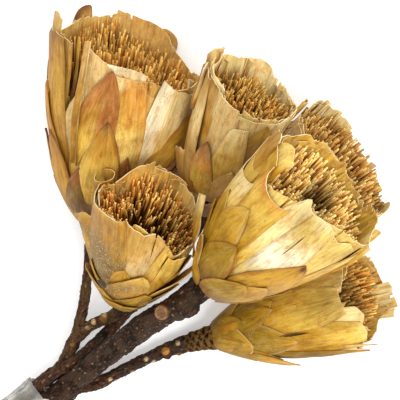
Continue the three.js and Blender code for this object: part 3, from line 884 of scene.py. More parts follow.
headB = dict(
    name="b", neck=(-39.5, -48.9, 36), azimuth=70.7, elevation=46.5, length=71, rim=27, seed=23,
    crumple=0.9, stain="gold", hollow=0.45, coreTop=(0.3, 0.36), rods=(0.8, 0.07), below=(0.1, 0.03),
    lean=0.05, sideShade=0.35, sideShadeTurn=75, glow=1.25,
    cut=[(-172, 0.98), (-162, 1.03), (-150, 0.99), (-138, 0.86), (-118, 0.88), (-95, 0.98), (-60, 1),
         (-36, 1.12), (-10, 1.14), (10, 1.13), (30, 1), (50, 0.82), (90, 0.84), (120, 0.9), (144, 0.94),
         (160, 0.97), (176, 0.99)],
    paints=dict(
        rim=["gold, straw, pale", "ochre, gold .6, straw"],
        scales=["olive, gold, straw", "gold, ochre, gold"],
        inside="wall",
    ),
    leaves=[
        # the grained bract on the left and the cream one beside it
        bract("long", (-34, 0.15), 8, [(-104, 0.94), (-76, 1), (-44, 1.11), (-26, 1.15), (-16, 1.2)],
            (1, 1.4), 3, "deepOlive, deepOlive, ochre .8, ochre", rag=0.6, margin=("straw", 0.5),
            grit=1),
        bract("rim", (8, 0.15), 8,
            [(-17, 1.2), (-8, 1.15), (4, 1.14), (12, 1.18), (19, 1.15), (27, 1.07)], (0.3, 0.9), 2,
            "gold, tan .3, greyCream .6, tan", rag=0.5, flute=0.5, slits=((0.3, 0.66, 1, 1.3),)),
        bract("long", (36, 0.16), 6, [(26, 1.05), (36, 0.92), (46, 0.84), (60, 0.84)], (0.7, 1.4), 3,
            "gold, ochre .4, straw", slits=((-0.3, 0.5, 1, 1.2),)),
        # long pointed scales that stand off on the right
        bract("strap", (48, 0.22), 4, [(84, 0.71)], (1.4, 5.5), 5, "olive, gold, pale", lift=1.5,
            margin=("cream", 0.8)),
        bract("strap", (40, 0.06), 4.5, [(76, 0.46)], (2.6, 4.6), 5, "olive, gold .6, straw", lift=1,
            margin=("cream", 0.7), grit=0.6),
        bract("low", (0, 0.16), 7, [(16, 0.72)], (2, 3.2), 6, "deepOlive, ochre, straw", blunt=0.6,
            rag=0.4, margin=("straw", 0.6), grit=0.9),
        bract("low", (16, 0.1), 6, [(28, 0.46)], (2.6, 3.8), 5, "deepOlive, olive, gold", blunt=0.6,
            rag=0.4, margin=("straw", 0.7), grit=0.8),
        bract("low", (-46, 0.05), 6, [(-58, 0.48)], (2, 2.8), 6, "deepOlive, gold, straw", blunt=0.8,
            margin=("straw", 0.6), grit=0.4),
        bract("mid", (-74, 0.36), 4, [(-90, 0.7), (-82, 0.79), (-74, 0.8)], (3, 5), 2.5,
            "olive, gold .6, gold", tilt=8, rag=0, margin=("straw", 0.6), grit=0.8),
        # a loop on the far side, a near-black disc painted as the shade inside a round hole, and broad
        # scales lapped over the base
        bract("strap", (-122, 0.7), 10, [(-146, 0.885), (-122, 0.885), (-98, 0.885)], (0.6, 1.6), 0,
            "ochre, ochre .6, gold", wave=0, rag=0, rolled=4.2, thickness=0.4),
        bract("strap", (-24, 0.41), 0.2, [(-24, 0.54)], (5, 5.6), 1.9, "hole, hole", blunt=0.5, bulge=0,
            tilt=1.2, wave=0, flute=0, thickness=0.4),
        bract("base", (-52, 0.04), 7, [(-60, 0.4)], (3, 4.8), 6, "deepOlive, olive, gold", blunt=0.6,
            lift=1, tilt=2, rag=0.8, margin=("straw", 0.7), grit=0.8),
        bract("base", (4, 0.02), 7, [(6, 0.3)], (3.2, 4.6), 8, "brown, olive, gold", blunt=0.5,
            lift=0.8, rag=1, margin=("straw", 0.7), grit=0.8),
        bract("base", (34, 0), 6, [(56, 0.3)], (2.6, 3.4), 6, "brown, olive, straw", blunt=0.7, lift=1,
            margin=("cream", 0.5)),
        bract("base", (-24, 0.02), 6, [(-30, 0.32)], (2.8, 3.8), 6, "brown, olive, gold", blunt=0.7,
            margin=("straw", 0.5), grit=0.6),
    ],
    frills=[
        dict(turns=(120, 260), count=12, over=(-0.05, 0.01), half=(2, 4), out=(-1.8, -0.6), slope=0.03),
        dict(turns=(-60, 20), count=9, over=(-0.12, -0.05), half=(0.8, 1.6), out=(-2.2, -1.2)),
    ],
    strays=60, straySweep=0, strayReach=(0.25, 0.42), rodPaints=[1, 1, 3, 2, 1, 4],
)
headC = dict(
    name="c", neck=(2.2, -4.4, 39.3), azimuth=68, elevation=32.8, length=73.3, rim=23, seed=37,
    crumple=0.9, stain="greyCream", hollow=0, coreTop=(0.4, 0.46), rods=(0.86, 0.08),
    below=(0.12, 0.05), lean=0.06, strays=230, straySweep=-9, strayReach=(0.26, 0.46), glow=0.84,
    cast=(1, 0.95, 0.92),
    cut=[(-162, 1.07), (-142, 1.05), (-126, 1.09), (-92, 1.09), (-60, 1.08), (-38, 1.06), (-2, 0.985),
         (14, 0.965), (34, 0.975), (60, 1.02), (80, 1.01), (102, 0.99), (128, 0.97), (160, 1),
         (178, 1.05)],
    paints=dict(
        rim=["ochre, tan, cream", "gold, greyCream, pale"],
        # scales dark at the foot: the head's own brown base, with painted shade in the gap under it
        scales=["dark, brown, tan", "dark, brown, straw"],
        inside="cream",
    ),
    leaves=[
        bract("rim", (-20, 0.25), 7, [(-38, 1.06), (-20, 1.02), (-2, 0.985)], (0.2, 0.6), 2,
            "ochre, greyCream, greyCream", flute=0.5),
        bract("long", (-38, 0.25), 6, [(-62, 1.08), (-48, 1.07), (-36, 1.06)], (0.2, 0.5), 2,
            "brown, ochre, tan", rag=1.6, margin=("brown", 0.5)),
        bract("rim", (18, 0.25), 7, [(-5, 0.985), (8, 0.965), (20, 0.965), (34, 0.975)], (0, 0.3), 2,
            "gold, straw, cream", curl=(3, 4)),
        bract("mid", (8, 0.25), 6, [(-8, 0.845), (0, 0.875), (14, 0.89)], (1.6, 2.2), 2,
            "tan, straw, cream", rag=1.2),
        bract("low", (-27, 0.18), 4.5, [(-28, 0.685)], (2.4, 2.8), 4,
            "gold, straw .45, orange .65, redBrown .88, brown", belly=0.85, blunt=0.6, bulge=3,
            margin=("redBrown", 0.5)),
        bract("low", (10, 0.2), 4, [(14, 0.56)], (2.6, 3.2), 3, "ochre, tan .6, straw", lift=1,
            wave=1.5, rag=2, margin=("cream", 0.7)),
        bract("low", (-52, 0.15), 4, [(-50, 0.5)], (2.2, 3), 3.5, "brown, tan", rag=1),
        # a dirty cream bract that stands off low on the left
        bract("long", (-70, 0.2), 10, [(-88, 1.05), (-74, 1.06), (-60, 1.05)], (5.5, 0.6), 2,
            "ochre, tan .35, cream .7, tan", rag=0.6),
        bract("mid", (-74, 0.08), 8, [(-90, 0.42), (-66, 0.46)], (5, 7), 3, "ochre, tan", tilt=8, rag=2,
            margin=("cream", 0.5)),
        # curls at the left end of the rim
        bract("strap", (-84, 0.75), 6, [(-92, 1.06), (-84, 1.1), (-76, 1.07)], (0.4, 1.2), 0,
            "ochre, greyCream .6, ivory", rag=0.2, rolled=2.6, inside="tan"),
        bract("strap", (-122, 0.6), 7,
            [(-142, 1.03), (-132, 1.105), (-122, 1.12), (-112, 1.11), (-101, 1.03)], (0.4, 1), 0,
            "ochre, tan .6, greyCream", wave=0, rag=0.2, rolled=3.2, inside="tan"),
    ],
    frills=[
        dict(turns=(60, 260), count=34, over=(-0.2, 0.01), half=(0.5, 2), out=(-2.4, -0.8)),
        dict(turns=(-60, 50), count=18, over=(-0.06, 0.015), half=(0.6, 1.4), out=(-2.4, -1)),
    ],
)
headD = dict(
    name="d", neck=(4, -41.1, 80.2), azimuth=41.4, elevation=30.6, length=80, rim=33.5, seed=41,
    crumple=1, stain="olive", hollow=0, coreTop=(0.4, 0.46), rods=(0.92, 0.07), below=(0.08, 0.05),
    lean=0.03, rodPaints=[0, 2, 4, 2, 4], glow=1.14, cast=(1, 1.1, 1.3), pit=(0.09, -0.05, 0.22, 0.5),
    cut=[(-174, 1.02), (-150, 1.03), (-130, 1), (-110, 0.97), (-84, 1.02), (-60, 0.9), (-30, 0.95),
         (-6, 1.02), (4, 1.1), (30, 1.08), (58, 1.05), (92, 0.98), (122, 1.03), (154, 0.99)],
    paints=dict(
        rim=["olive, gold, straw", "gold, straw, pale"],
        scales=["deepOlive, olive, gold", "olive, gold .6, gold"],
        inside="straw",
    ),
    leaves=[
        bract("long", (-68, 0.3), 7, [(-96, 0.97), (-84, 0.8), (-68, 0.785), (-52, 0.82), (-42, 0.87)],
            (0.6, 1.1), 2, "gold, straw, cream", rag=0.3),
        bract("inner", (-58, 0.35), 8, [(-84, 1.08), (-62, 1.1), (-42, 1.05)], (-0.9, -0.5), 2,
            "gold, gold"),
        bract("long", (-32, 0.25), 7, [(-42, 1.05), (-38, 0.96), (-24, 0.93), (-10, 0.96), (-5, 1.01)],
            (0.3, 0.8), 2, "gold, gold, straw .85, orange", rag=0.3),
        bract("rim", (4, 0.25), 8, [(-9, 1), (-2, 1.15), (4, 1.1), (14, 1.09)], (0, 0.5), 2,
            "gold, straw .3, cream .6, cream", rag=0.3),
        bract("long", (24, 0.25), 8, [(8, 1.09), (20, 1.11), (32, 1.08)], (0.4, 0.9), 2,
            "gold, pale .25, ivory, pale .9, cream", rag=0.4, slits=((-0.2, 0.55, 0.85, 0.9),)),
        bract("rim", (44, 0.25), 8, [(28, 1.08), (42, 1.03), (50, 1.06), (60, 1.02)], (0.1, 0.7), 2,
            "gold, straw .3, pale", rag=0.5),
        bract("mid", (-44, 0.2), 6, [(-28, 0.77)], (1.3, 1.7), 8, "olive, gold .6, straw", blunt=0.7,
            margin=("cream", 0.5)),
        bract("low", (-28, 0.1), 6, [(-12, 0.56)], (2.1, 2.6), 6, "deepOlive, olive, olive", blunt=0.8,
            margin=("red", 0.6)),
        bract("mid", (40, 0.12), 7, [(40, 0.78)], (1.5, 2), 9, "olive, gold, gold .95, brown",
            blunt=0.8),
        bract("long", (76, 0.2), 6, [(68, 1)], (0.8, 1.3), 7, "olive, gold, pale",
            margin=("cream", 0.5)),
        bract("base", (14, 0.06), 5, [(23, 0.4)], (2.9, 3.3), 5, "deepOlive, olive .6, gold", blunt=0.6,
            margin=("straw", 0.5)),
        bract("low", (-70, 0.06), 4, [(-48, 0.37)], (2.4, 3.6), 4.5, "gold, ochre .7, gold", lift=2,
            margin=("cream", 0.9)),
        bract("strap", (-74, 0.12), 2, [(-82, 0.46), (-75, 0.49)], (4, 10), 0.6,
            "brown, gold .4, cream", tilt=3, rag=1.4, thickness=0.5, inside="straw"),
        bract("strap", (-74, 0.6), 7, [(-92, 1.02), (-78, 1.09), (-64, 1.15), (-57, 1.12)], (-0.9, 0.2),
            0, "gold, ochre .8, tan", rag=0.3),
        bract("strap", (-62, 0.7), 7, [(-70, 1.06), (-60, 1.15), (-46, 1.19), (-34, 1.13)],
            (-1.8, -1.6), 1, "ochre, gold .7, pale", rag=0.2, flute=1, curl=(5, -5), inside="straw"),
        # the bract that turns in at the right end
        bract("strap", (96, 0.6), 8, [(78, 1.02), (94, 1.06), (112, 1.05)], (-2.5, -4), 1,
            "gold, straw .8, cream", rag=0.3, rolled=7, thickness=0.5, inside="straw"),
    ],
    frills=[
        dict(turns=(100, 250), count=22, over=(-0.05, 0.02), half=(1.2, 3), out=(-1.8, -0.8),
            paints=["brown, gold .6, straw", "olive, pale"]),
    ],
)
headE = dict(
    name="e", neck=(23, -21.5, 13.1), azimuth=39.7, elevation=23.5, length=71.5, rim=33.5, seed=59,
    crumple=1.2, stain="tan", hollow=0, coreTop=(0.42, 0.5), rods=(1, 0.07), below=(0.04, 0.02),
    lean=0.05, rodPaints=[0, 2, 4, 3, 1], cast=(0.9, 0.95, 1.08),
    cut=[(-180, 1), (-160, 0.98), (-120, 1.02), (-90, 1.04), (-60, 1), (0, 0.95), (60, 0.95),
         (92, 0.93), (118, 0.96), (146, 0.98)],
    gaps=[(("rim", "inner"), 180, 100)],
    paints=dict(
        rim=["ochre, tan, greyCream", "gold, tan, cream"],
        scales=["olive, gold, ochre", "gold, tan .6, redBrown"],
        inside="tan",
    ),
    leaves=[
        bract("strap", (78, 0.6), 4, [(70, 0.97), (78, 0.99)], (-1, 0.5), 0, "ochre, tan", rag=0.4),
        bract("strap", (98, 0.6), 8, [(82, 0.97), (88, 1), (108, 1), (113, 0.97)], (0, 0.6), 0,
            "ochre, straw", rag=0.3, inside="cream"),
        bract("strap", (-88, 0.6), 5, [(-98, 1.05), (-84, 1.05)], (-1, 0.5), 0, "ochre, pale", rag=0.4,
            rolled=3),
        bract("strap", (-118, 0.6), 5, [(-128, 1.04), (-112, 1.05)], (-1, 0.5), 0, "tan, cream",
            rag=0.4),
    ],
    frills=[
        dict(turns=(70, 215), count=46, over=(-0.1, 0.02), half=(0.8, 2.2), out=(-2.6, 0), slope=0.012),
        dict(turns=(70, 290), count=40, over=(-0.2, -0.02), half=(0.6, 1.6), out=(-6, -2), slope=0.012),
        dict(turns=(196, 266), count=12, over=(0.04, 0.09), half=(2.8, 4.4), out=(-6, -1), slope=0.01,
            inside="cream", paints=["brown, ochre .6, pale", "ochre, pale .6, cream"]),
        dict(turns=(-180, 180), count=40, over=(-0.12, -0.02), half=(1.5, 3.5), out=(-1.6, -0.2)),
    ],
)
headF = dict(
    name="f", neck=(8.3, -70.9, 10.6), azimuth=14.9, elevation=15.8, length=84, rim=24.9, seed=67,
    crumple=1, stain="olive", hollow=0, coreTop=(0.42, 0.48), rods=(0.92, 0.06), below=(0.06, 0.03),
    lean=0.05, sideShade=0.5,
    cut=[(-162, 1.03), (-130, 1.02), (-110, 0.99), (-60, 0.92), (-17, 0.88), (4, 0.9), (20, 0.96),
         (45, 0.97), (70, 0.9), (106, 0.88), (126, 0.93), (140, 0.97), (156, 1.03), (176, 1.03)],
    paints=dict(
        rim=["olive, gold, pale", "gold, straw, straw"],
        scales=["deepOlive, olive, gold", "olive, gold .6, olive"],
        inside="tan",
    ),
    leaves=[
        bract("rim", (-36, 0.25), 8, [(-66, 0.93), (-44, 0.92), (-20, 0.9)], (0, 0.5), 2,
            "olive, gold, pale .85, cream"),
        bract("long", (-6, 0.2), 9, [(-26, 0.875), (-12, 0.885), (6, 0.9)], (0.6, 1.1), 5,
            "olive, gold .3, straw .6, pale", rag=0.4),
        bract("rim", (14, 0.3), 6, [(0, 0.96), (12, 1), (24, 0.97)], (0.3, 0.7), 2,
            "olive, straw, cream", rag=0.5),
        # the pale cut bract under it, with a thin dark strap along its upper side painted as the shadow
        # under a crease
        bract("long", (32, 0.34), 6, [(18, 0.97), (32, 0.985), (47, 0.96)], (0.9, 1.5), 3,
            "redBrown, ochre .2, gold, straw .85, pale", rag=0.3, keel=0.4),
        bract("strap", (18, 0.44), 0.3, [(19, 0.65)], (2, 2.1), 0.5, "dark, hole", bulge=0, wave=0,
            flute=0, thickness=0.4),
        bract("strap", (58, 0.3), 2.4, [(58, 0.96)], (1, 3), 2.2, "olive, deepOlive .6, tan", lift=1),
        bract("strap", (52, 0.35), 2, [(52, 1.02)], (0.6, 2.2), 1.6, "olive, gold .6, cream", lift=1,
            keel=0.6),
        bract("mid", (-32, 0.1), 7, [(-34, 0.46)], (1.6, 2.2), 8, "deepOlive, olive, gold", blunt=0.65,
            margin=("straw", 0.8), grit=0.5),
        bract("mid", (16, 0.1), 6, [(30, 0.56)], (1.6, 2), 6, "olive, olive, gold", blunt=0.8, rag=0.5,
            margin=("cream", 0.5), grit=0.4),
        bract("low", (14, 0.02), 6, [(28, 0.28)], (2.6, 3.1), 6.5, "olive, olive, gold", blunt=0.55,
            margin=("cream", 0.7)),
        bract("strap", (66, 0.12), 4, [(68, 0.52)], (2.6, 5), 2.8, "olive, gold .6, straw", lift=1,
            tilt=-1.5, margin=("brown", 0.5)),
        bract("strap", (-160, 0.6), 6, [(-172, 1.04), (-148, 1.03)], (0.4, 1), 1, "ochre, orange",
            rag=0.5, inside="orange"),
    ],
    frills=[
        dict(turns=(150, 188), count=6, over=(0.03, 0.07), half=(2.2, 3.6), out=(-3, 0.4), slope=0.015,
            inside="cream", paints=["brown, ochre .6, pale", "ochre, straw .6, cream"]),
        dict(turns=(60, 145), count=12, over=(-0.1, 0), half=(1, 2.2), out=(-2.4, 0)),
    ],
)

for head in (headA, headB, headC, headD, headE, headF):
    makeBracts(head)
    makeFlorets(head)


# Stems
# Through the tie each stem lies at (mm to the left, height, radius). Stops of (x, y, z, radius) then
# lead on to the neck of a head, which the stem enters along the head's axis in a few steps, given as
# (mm before the neck, share of the neck's radius). Knobs are (x, y, radius, colour).
tie = dict(at=(-74, -98), length=50, tail=34, straight=8, spread=1.25)
tieSlots = dict(
    ab=(7.4, 4.7, 3.6), c=(6.9, 11.9, 3.1), d=(-2.2, 13.2, 5.6), e=(0, 4.3, 3.2), f=(-6.8, 4.2, 3.1),
)
alongTie = polar(math.radians(bunch["heading"]), 1)
acrossTie = Vector((-alongTie.y, alongTie.x, 0))
fork = (-64.4, -71.7, 11)
neckSteps = [(14, 0.66), (5, 0.8), (0.3, 0.94), (-3, 1)]
plainBark = ["barkRed", "barkGrey", "barkDark"]


limb = dict(sides=20, gap=1, smooth=0.5, knobFlat=0.85, paintedKnob=4, floor=0.05, sharpAngle=60)
barkRelief = dict(ridge=0.6, lump=0.6, grit=0.34, fine=0.2, scar=0.55, ring=0.45)


def tiePoint(slot, run, spread=1):
    left, height = tieSlots[slot][:2]
    return Vector((*tie["at"], height)) + acrossTie * left * spread + alongTie * run


def tiedRun(slot):
    radius = tieSlots[slot][2]
    below = -tie["length"] - tie["tail"]
    runs = [-tie["length"] - tie["straight"], -tie["length"], 0, tie["straight"]]
    points = [tiePoint(slot, below, tie["spread"])] + [tiePoint(slot, run) for run in runs]
    return [(point, radius) for point in points]


def neckRun(head, neck):
    turn = headMatrix(head)
    return [(turn @ Vector((0, 0, -back)), neck * share) for back, share in neckSteps]


def smoothWay(stops):
    # a smooth line through the stops, as (point, radius, way from its end)
    way = []
    points = [2 * stops[0][0] - stops[1][0]] + [p for p, r in stops] + [2 * stops[-1][0] - stops[-2][0]]
    for i in range(len(stops) - 1):
        p0, p1, p2, p3 = points[i : i + 4]
        d0, d1, d2 = [max((b - a).length, 0.01) ** 0.5 for a, b in ((p0, p1), (p1, p2), (p2, p3))]
        slope1 = ((p1 - p0) / d0 - (p2 - p0) / (d0 + d1) + (p2 - p1) / d1) * d1
        slope2 = ((p2 - p1) / d1 - (p3 - p1) / (d1 + d2) + (p3 - p2) / d2) * d1
        count = max(int((p2 - p1).length / limb["gap"]), 2)
        for k in range(count + (i == len(stops) - 2)):
            f = k / count
            point = (2 * f**3 - 3 * f**2 + 1) * p1 + (f**3 - 2 * f**2 + f) * slope1
            point += (3 * f**2 - 2 * f**3) * p2 + (f**3 - f**2) * slope2
            way.append((point, mix(stops[i][1], stops[i + 1][1], f)))
    left = [0]
    for (a, r), (b, q) in zip(way[::-1], way[-2::-1]):
        left.append(left[-1] + (b - a).length)
    return [(point, radius, rest) for (point, radius), rest in zip(way, left[::-1])]


def wayTo(head, neck, *stops, slot=None):
    # a stem through its slot of the tie, past its stops and into the neck of a head
    tied = tiedRun(slot) if slot else []
    return smoothWay(tied + [(Vector(stop[:3]), stop[3]) for stop in stops] + neckRun(head, neck))


def wayFrame(way, i):
    # level and upright ways out of a limb, square to its run
    ahead = (way[min(i + 1, len(way) - 1)][0] - way[max(i - 1, 0)][0]).normalized()
    side = Vector((0, 0, 1)).cross(ahead).normalized()
    return side, ahead.cross(side)


def grownRing(bm, edges):
    # a further ring of verts and edges on an open edge loop
    grown = bmesh.ops.extrude_edge_only(bm, edges=edges)["geom"]
    verts = [item for item in grown if isinstance(item, bmesh.types.BMVert)]
    edges = [item for item in grown if isinstance(item, bmesh.types.BMEdge)]
    return verts, [edge for edge in edges if all(vert in verts for vert in edge.verts)]


def firstRing(bm, sides):
    verts = bmesh.ops.create_circle(bm, segments=sides, radius=1)["verts"]
    return verts, list({edge for vert in verts for edge in vert.link_edges})


def addLimb(bm, way):
    verts, edges = firstRing(bm, limb["sides"])
    for i in range(0, len(way), 2):
        if i:
            verts, edges = grownRing(bm, edges)
        point, radius, rest = way[i]
        side, up = wayFrame(way, i)
        for k, vert in enumerate(verts):
            turn = math.tau * k / limb["sides"]
            vert.co = point + (side * math.cos(turn) + up * math.sin(turn)) * radius
        if not i:
            bmesh.ops.edgeloop_fill(bm, edges=edges)
    bmesh.ops.edgeloop_fill(bm, edges=edges)


def seatOn(ways, x, y):
    # the point of the stems' upper side that lies over (x, y), and the way out of the bark there
    seats = []
    for way in ways:
        for i, (point, radius, rest) in enumerate(way):
            if math.hypot(point.x - x, point.y - y) < radius * 3:
                side, up = wayFrame(way, i)
                off = (Vector((x, y, point.z)) - point).dot(side)
                off = min(max(off, -radius * 0.95), radius * 0.95)
                out = (side * off + up * math.sqrt(radius**2 - off**2)).normalized()
                seats.append((point + out * radius, out))
    return min(seats, key=lambda seat: (seat[0].xy - Vector((x, y))).length)


def joinedLimbs(name, bm, voxel):
    # the limbs and knobs as one closed skin
    rough = bpy.data.meshes.new(name)
    bm.to_mesh(rough)
    bm.free()
    body = bpy.data.objects.new(name, rough)
    bpy.context.scene.collection.objects.link(body)
    joined = body.modifiers.new("joined", "REMESH")
    joined.mode = "VOXEL"
    joined.voxel_size = voxel
    even = body.evaluated_get(bpy.context.evaluated_depsgraph_get()).to_mesh()
    bm = bmesh.new()
    bm.from_mesh(even)
    bpy.data.objects.remove(body)
    axes = dict(use_axis_x=True, use_axis_y=True, use_axis_z=True)
    bmesh.ops.smooth_vert(bm, verts=bm.verts, factor=limb["smooth"], **axes)
    bm.normal_update()
    return bm


def makeStem(name, ways, tones, knobs=(), stub=None, voxel=0.7, scars=0):
    seed = sum(map(ord, name))
    bm = bmesh.new()
    for way in ways:
        addLimb(bm, way)
    seats = []
    for x, y, radius, tone in knobs:
        point, out = seatOn(ways, x, y)
        lump = bmesh.ops.create_icosphere(bm, subdivisions=2, radius=radius)["verts"]
        bmesh.ops.scale(bm, vec=(1, 1, limb["knobFlat"]), verts=lump)
        bmesh.ops.transform(bm, matrix=seatMatrix(point, out), verts=lump)
        seats.append((point, radius, tone))
    if stub:
        x, y, radius, height = stub
        point, out = seatOn(ways, x, y)
        out = (out + Vector((0, 0, 0.8))).normalized()
        block = bmesh.ops.create_cone(
            bm, cap_ends=True, segments=24, radius1=radius * 1.25, radius2=radius, depth=height * 2
        )
        bmesh.ops.transform(bm, matrix=seatMatrix(point, out), verts=block["verts"])
        stubAt, stubOut = point + out * height, out
    bm = joinedLimbs(name, bm, voxel)
    tints = bm.verts.layers.float_color.new("tint")
    grains = bm.verts.layers.float_vector.new("grain")
    spots = [(way, i) for way in ways for i in range(len(way))]
    tree = kdtree.KDTree(len(spots))
    for k, (way, i) in enumerate(spots):
        tree.insert(way[i][0], k)
    tree.balance()
    for vert in bm.verts:
        way, i = spots[tree.find(vert.co)[1]]
        point, radius, rest = way[i]
        side, up = wayFrame(way, i)
        off = vert.co - point
        angle = math.atan2(off.dot(up), off.dot(side))
        where = polar(angle, radius, rest)
        vert[grains] = (angle * radius, rest, seed)
        ridge = noise.noise(Vector((where.x * 0.9, where.y * 0.9, rest * 0.14 + seed)))
        lump = noise.noise(where * 0.28 + Vector((seed, 0, 0)))
        grit = noise.noise(where * 1.1)
        tone = step(-0.35, 0.35, noise.noise(where * 0.13 + Vector((0, seed, 0))))
        worn = step(0.44, 0.6, noise.noise(where * 1.5 + Vector((0, 0, seed))))
        tint = paintOf(tones[0]).lerp(paintOf(tones[1]), tone)
        tint = tint.lerp(paintOf(tones[2]), step(0, 0.35, grit) * 0.8)
        tint = tint.lerp(paintOf("bark"), worn * 0.6)
        rise = barkRelief["ridge"] * ridge + barkRelief["lump"] * lump + barkRelief["grit"] * grit
        rise += barkRelief["fine"] * noise.noise(where * 2.3)
        if scars and rest < scars:
            # diamond scars where the leaves near the head have fallen
            u, v = angle * 10 / math.tau, rest * 0.5
            cell = max(abs(((u + v) % 2) - 1), abs(((u - v) % 2) - 1))
            mark = 1 - step(0.45, 0.75, cell)
            tint = tint.lerp(paintOf("neck"), 1 - 0.5 * rest / scars).lerp(paintOf("barkDark"), mark)
            rise -= barkRelief["scar"] * mark
        for seat, size, knobTone in seats:
            near = (vert.co - seat).length
            if near < size * 1.5 and size < limb["paintedKnob"]:
                tint = tint.lerp(paintOf(knobTone), 1 - step(size * 0.95, size * 1.5, near))
                rise *= 0.5
        if stub:
            # growth rings on the cut face
            flat = vert.co - stubAt
            high = flat.dot(stubOut)
            wide = (flat - stubOut * high).length / stub[2]
            if wide < 1.4 and high > -stub[3]:
                ring = step(0.62, 0.72, wide) - step(0.9, 1.0, wide)
                disc = paintOf("stubWood").lerp(paintOf("stubRing"), ring)
                disc = disc.lerp(paintOf("brown"), step(0.2, 0.05, wide) * 0.7)
                tint = tint.lerp(disc, 1 - step(1.0, 1.12, wide))
                rise = rise * 0.4 + barkRelief["ring"] * ring * (wide < 1.1)
        vert[tints] = (*tint, 1)
        vert.co += vert.normal * rise
    finishPiece(f"{name}_bark", bm, [barkFaces], [name], limb["sharpAngle"], limb["floor"])


wayB = wayTo(headB, 4.6, (*fork, 3.6), (-55.5, -64.5, 15, 2.9), slot="ab")
wayA = wayTo(headA, 5, (*fork, 2.9), (-60, -52, 13, 2.7), (-57.5, -32, 14, 2.6))
makeStem(
    "stem_ab", [wayB, wayA], ["barkOlive", "barkRed", "barkDark"],
    knobs=[
        (-55, -62.8, 1.3, "bud"), (-49.8, -60.2, 2.4, "neck"), (-49.3, -59.6, 1.3, "bud"),
        (-58, -66, 1, "bark"), (-66, -75, 1.1, "neck"),
    ],
)
wayC = wayTo(headC, 4.6, (-62.5, -82, 13, 3.1), (-39, -59, 11, 3.2), (-17, -34, 20, 3.2), slot="c")
makeStem("stem_c", [wayC], plainBark, knobs=[(-50, -70, 1.3, "barkDark")])
wayD = wayTo(headD, 6.4, (-46, -77.5, 32, 5.9), (-20, -57.5, 60, 6.4), slot="d")
makeStem(
    "stem_d", [wayD], ["barkGrey", "barkDark", "barkRed"], stub=(-18.4, -55.1, 3.5, 2.6), voxel=0.8,
    knobs=[
        (-46, -76, 1.7, "barkGrey"), (-33, -70, 1.4, "barkDark"), (-6.4, -52.4, 6, "barkDark"),
        (-10, -56, 3.8, "barkGrey"),
    ],
)
wayE = wayTo(headE, 5, (-46, -77.5, 9, 3.2), (-13, -52, 12, 3.3), slot="e")
makeStem("stem_e", [wayE], plainBark, knobs=[(-30, -64, 1.4, "barkDark")])
wayF = wayTo(headF, 7.6, (-57.5, -97.5, 6.2, 3.1), (-37.5, -87.5, 7, 3.1), (-19, -79, 6.6, 3.4), slot="f")
makeStem(
    "stem_f", [wayF], plainBark, scars=20,
    knobs=[
        (-46.9, -93.7, 0.9, "bud"), (-43.2, -95.3, 0.8, "bud"), (-28.1, -82.8, 0.9, "bud"),
        (-24.5, -84.4, 0.8, "bud"), (-11.5, -74.5, 1.0, "bud"), (-17.7, -78.6, 1.6, "rodRed"),
        (-10.9, -81.8, 1.3, "neck"), (-15.6, -85.4, 1.8, "barkRed"), (-35, -90, 0.8, "bud"),
    ],
)


# The film, wound tight round the stems: its outline is their common hull, crinkled
film = dict(
    gap=1.1, sides=84, rows=46, wall=0.35, crease=0.9, ragged=1.6, start=-50, end=-6, slant=3.2,
    coarseFold=1.3, fineFold=3.4, tornFold=1.6, sharpFold=2.2, ruffle=0.9, sharpAngle=50,
)


def filmPoint(turn, run, grow):
    c, s = math.cos(turn), math.sin(turn)
    left, height, radius = max(tieSlots.values(), key=lambda slot: slot[0] * c + slot[1] * s + slot[2])
    at = Vector((*tie["at"], 0)) + acrossTie * (left + (radius + grow) * c)
    return at + Vector((0, 0, height + (radius + grow) * s)) + alongTie * run


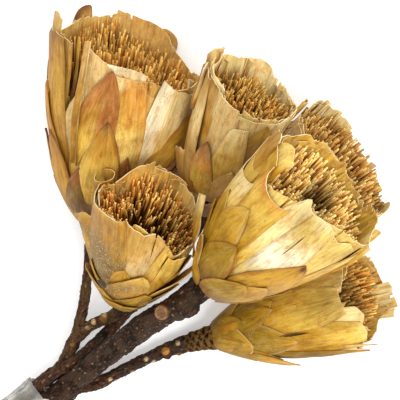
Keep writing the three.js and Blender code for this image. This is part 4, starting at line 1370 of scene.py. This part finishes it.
def makeFilm():
    bm = bmesh.new()
    verts, edges = firstRing(bm, film["sides"])
    for row in range(film["rows"] + 1):
        if row:
            verts, edges = grownRing(bm, edges)
        share = row / film["rows"]
        run = mix(film["start"], film["end"], share)
        for k, vert in enumerate(verts):
            turn = math.tau * k / film["sides"]
            around = polar(turn, 2.2, run * 0.09 + turn * 0.3)
            fold = 1 - abs(noise.noise(around * film["coarseFold"])) * film["sharpFold"]
            fine = 1 - abs(noise.noise(around * film["fineFold"] + Vector((4, 0, 0)))) * film["sharpFold"]
            edge = step(0.86, 1, share) + step(0.1, 0, share)
            grow = film["gap"] + film["crease"] * max(0.7 * fold + 0.3 * fine, 0)
            grow += film["ruffle"] * edge * max(fine, 0)
            torn = film["ragged"] * noise.noise(around * film["tornFold"]) * step(0.7, 1, share)
            slant = film["slant"] * math.cos(turn) * share
            vert.co = filmPoint(turn, run + torn - slant, grow)
            vert.co.z = max(vert.co.z, film["wall"] + 0.1)
    bmesh.ops.recalc_face_normals(bm, faces=bm.faces)
    bmesh.ops.solidify(bm, geom=bm.faces[:], thickness=film["wall"])
    bmesh.ops.recalc_face_normals(bm, faces=bm.faces)
    finishPiece("film_crinkled", bm, [filmFaces], ["film_wrap"], film["sharpAngle"])


makeFilm()


# Floor, light and camera
studio = dict(
    floor=6, floorGrey=0.8, floorGlow=0.36, sky=0.8, middle=(0.03, 0, 0.06), away=1.6, span=0.2104,
    lamps=dict(
        key=dict(turn=-83, height=60, power=18.5, size=0.7),
        fill=dict(turn=87, height=60, power=10, size=1.4),
    ),
)


def makeStudio():
    bpy.ops.mesh.primitive_plane_add(size=studio["floor"])
    floor = bpy.context.object
    floor.name = "floor"
    material, tree, shader = newMaterial("paleFloor")
    fill(tree, shader, {
        "Base Color": (*[studio["floorGrey"]] * 3, 1), "Emission Color": (1, 1, 1, 1),
        "Emission Strength": studio["floorGlow"], "Roughness": 0.9,
    })
    floor.data.materials.append(material)
    world = bpy.data.worlds.new("softSky")
    world.use_nodes = True
    sky = world.node_tree
    fill(sky, sky.nodes["Background"], {"Color": (1, 1, 1, 1), "Strength": studio["sky"]})
    bpy.context.scene.world = world
    middle = Vector(studio["middle"])
    for name, own in studio["lamps"].items():
        lamp = bpy.data.lights.new(name, "AREA")
        lamp.energy = own["power"]
        lamp.size = own["size"]
        light = bpy.data.objects.new(name, lamp)
        turn, height = math.radians(own["turn"]), math.radians(own["height"])
        light.location = middle + studio["away"] * polar(turn, math.cos(height), math.sin(height))
        light.rotation_euler = (middle - light.location).to_track_quat("-Z", "Y").to_euler()
        bpy.context.scene.collection.objects.link(light)


def makeCamera():
    # one metre over the layout's origin, looking straight down, upright in the layout
    view = bpy.data.cameras.new("camera")
    view.sensor_width = 36
    view.lens = view.sensor_width / studio["span"]
    view.clip_start, view.clip_end = 0.01, 20
    camera = bpy.data.objects.new("camera", view)
    camera.location = (-middleX * bunch["millimetre"], -middleY * bunch["millimetre"], 1)
    camera.rotation_euler = (0, 0, math.radians(-bunch["heading"]))
    bpy.context.scene.collection.objects.link(camera)
    bpy.context.scene.camera = camera
    bpy.context.scene.view_settings.view_transform = "Standard"


makeStudio()
makeCamera()
